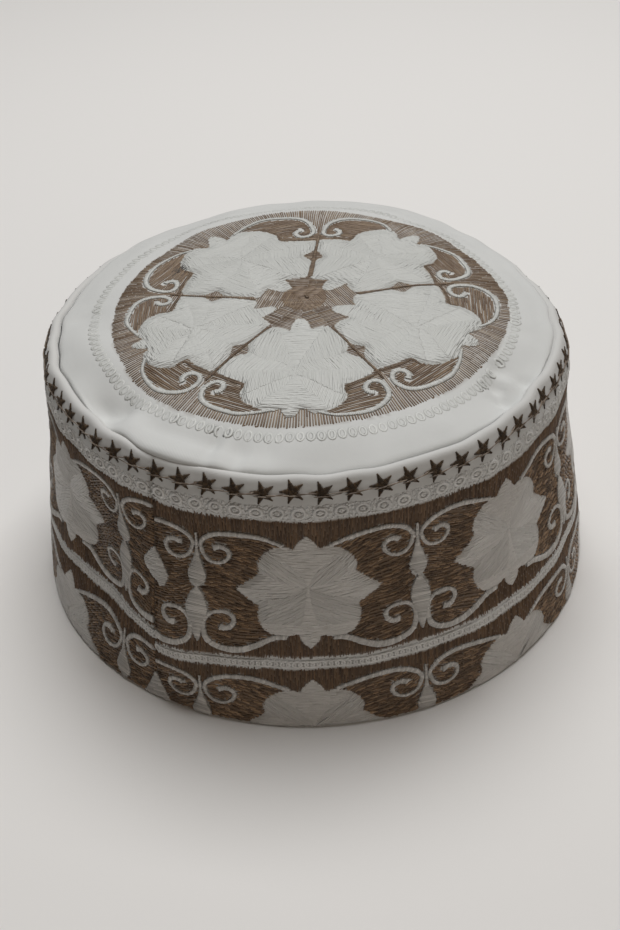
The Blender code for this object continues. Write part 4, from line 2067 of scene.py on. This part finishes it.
def turned_cloth(name: str, profile: list[tuple[float, float]], closed: bool, steps: int) -> bpy.types.Object:
    """A piece made by turning an outline about the Z axis, in millimetres and before the cap settles.

    Args:
        name: The piece's name.
        profile: Radii and heights of the outline.
        closed: Whether the outline's last point joins its first.
        steps: Number of steps round.

    Returns:
        The object.
    """
    mesh = bmesh.new()
    points = [mesh.verts.new((radius, 0, height)) for radius, height in profile]
    for start, end in zip(points, points[1:]):
        mesh.edges.new((start, end))
    if closed:
        mesh.edges.new((points[-1], points[0]))
    bmesh.ops.spin(
        mesh, geom=list(mesh.verts) + list(mesh.edges), cent=(0, 0, 0), axis=(0, 0, 1), angle=2 * math.pi,
        steps=steps, use_merge=True,
    )
    bmesh.ops.remove_doubles(mesh, verts=mesh.verts, dist=1e-3)
    bmesh.ops.recalc_face_normals(mesh, faces=mesh.faces)
    data = bpy.data.meshes.new(name)
    mesh.to_mesh(data)
    mesh.free()
    data.shade_smooth()
    return linked(name, data)


def turned_points(piece: bpy.types.Object) -> np.ndarray:
    """The piece's points as an array.

    Args:
        piece: The piece.

    Returns:
        Array of shape (n, 3).
    """
    points = np.empty(len(piece.data.vertices) * 3)
    piece.data.vertices.foreach_get("co", points)
    return points.reshape(-1, 3)


def settle_cloth(piece: bpy.types.Object, points: np.ndarray, chart: np.ndarray, underlay_and_shade: np.ndarray) -> None:
    """Moves a piece's points to their places, and stores its chart UV and its share of brown underlay and
    painted shade.

    Args:
        piece: The piece.
        points: New points, in millimetres.
        chart: Chart coordinates of each point.
        underlay_and_shade: Share of the brown underlay, with painted shade, at each point.
    """
    mesh = piece.data
    mesh.vertices.foreach_set("co", (points * MM).ravel())
    corner = np.empty(len(mesh.loops), np.int32)
    mesh.loops.foreach_get("vertex_index", corner)
    mesh.uv_layers.new(name="chart").data.foreach_set("uv", chart[corner].ravel())
    mesh.attributes.new("underlay_and_shade", "FLOAT", "POINT").data.foreach_set("value", underlay_and_shade)
    mesh.update()


class Light(NamedTuple):
    """A square light: its place, the point that it faces, its power in watts, its colour and its side."""

    name: str
    place: tuple
    aim: tuple
    power: float
    tone: tuple
    size: float = 1.0


@dataclass
class Studio:
    """The pale floor, the soft lights and the camera."""

    LIGHTS = (
        Light("top_light", (0.1, 0.45, 1.5), (0, 0.02, 0.08), 23.0, (1, 1, 1)),
        Light("front_fill", (0.6, -1.25, 0.7), (0, 0, 0.05), 2.5, (1, 0.87, 0.75)),
    )

    camera_place: tuple = (0.0, -0.3273, 0.2761)
    lens: float = 45.73
    sensor: float = 36.0
    pitch: float = 0.6500
    yaw: float = -0.0023
    roll: float = 0.0494
    floor_half: float = 6
    floor_colour: tuple = (0.77, 0.755, 0.735, 1)
    surround_colour: tuple = (1.0, 0.87, 0.74, 1)
    surround_strength: float = 0.04

    def build_floor(self) -> None:
        """A large flat floor."""
        mesh = bmesh.new()
        bmesh.ops.create_grid(mesh, x_segments=2, y_segments=2, size=self.floor_half)
        data = bpy.data.meshes.new("floor")
        mesh.to_mesh(data)
        mesh.free()
        floor = linked("floor", data)
        shader = Shader("floor")
        data.materials.append(shader.finish(Base_Color=self.floor_colour, Roughness=0.9))

    def build_light(self, light: Light) -> None:
        """A soft square light.

        Args:
            light: The light.
        """
        data = bpy.data.lights.new(light.name, "AREA")
        data.energy, data.size, data.color = light.power, light.size, light.tone
        lamp = linked(light.name, data)
        lamp.location = light.place
        ahead = Vector(light.aim) - Vector(light.place)
        lamp.rotation_euler = ahead.to_track_quat("-Z", "Y").to_euler()

    def build_camera(self) -> None:
        """The camera at the photograph's angle."""
        data = bpy.data.cameras.new("camera")
        data.lens, data.sensor_width = self.lens, self.sensor
        level = Vector((math.sin(self.yaw), math.cos(self.yaw), 0))
        ahead = level * math.cos(self.pitch) + Vector((0, 0, -math.sin(self.pitch)))
        right = Vector((math.cos(self.yaw), -math.sin(self.yaw), 0))
        down = ahead.cross(right)
        leaned_right = right * math.cos(self.roll) + down * math.sin(self.roll)
        leaned_down = down * math.cos(self.roll) - right * math.sin(self.roll)
        turn = Matrix((leaned_right, -leaned_down, -ahead)).transposed()
        camera = linked("camera", data)
        camera.matrix_world = Matrix.Translation(self.camera_place) @ turn.to_4x4()
        bpy.context.scene.camera = camera

    def build(self) -> None:
        """Builds the floor, the lights, the camera and the pale surround."""
        self.build_camera()
        self.build_floor()
        for light in self.LIGHTS:
            self.build_light(light)
        world = bpy.data.worlds.new("surround")
        world.use_nodes = True
        glow = world.node_tree.nodes["Background"].inputs
        glow["Color"].default_value = self.surround_colour
        glow["Strength"].default_value = self.surround_strength
        bpy.context.scene.world = world
        bpy.context.scene.view_settings.view_transform = "Standard"


def main() -> None:
    """Builds the studio, the band and the crown, in that order."""
    logging.basicConfig(level=logging.INFO, format="%(name)s %(message)s")
    form = CapForm()
    Studio().build()
    LOG.info("studio built")
    SideBand(form, SidePattern()).build()
    CrownPanel(form, CrownPattern()).build()


if __name__ == "__main__":
    main()
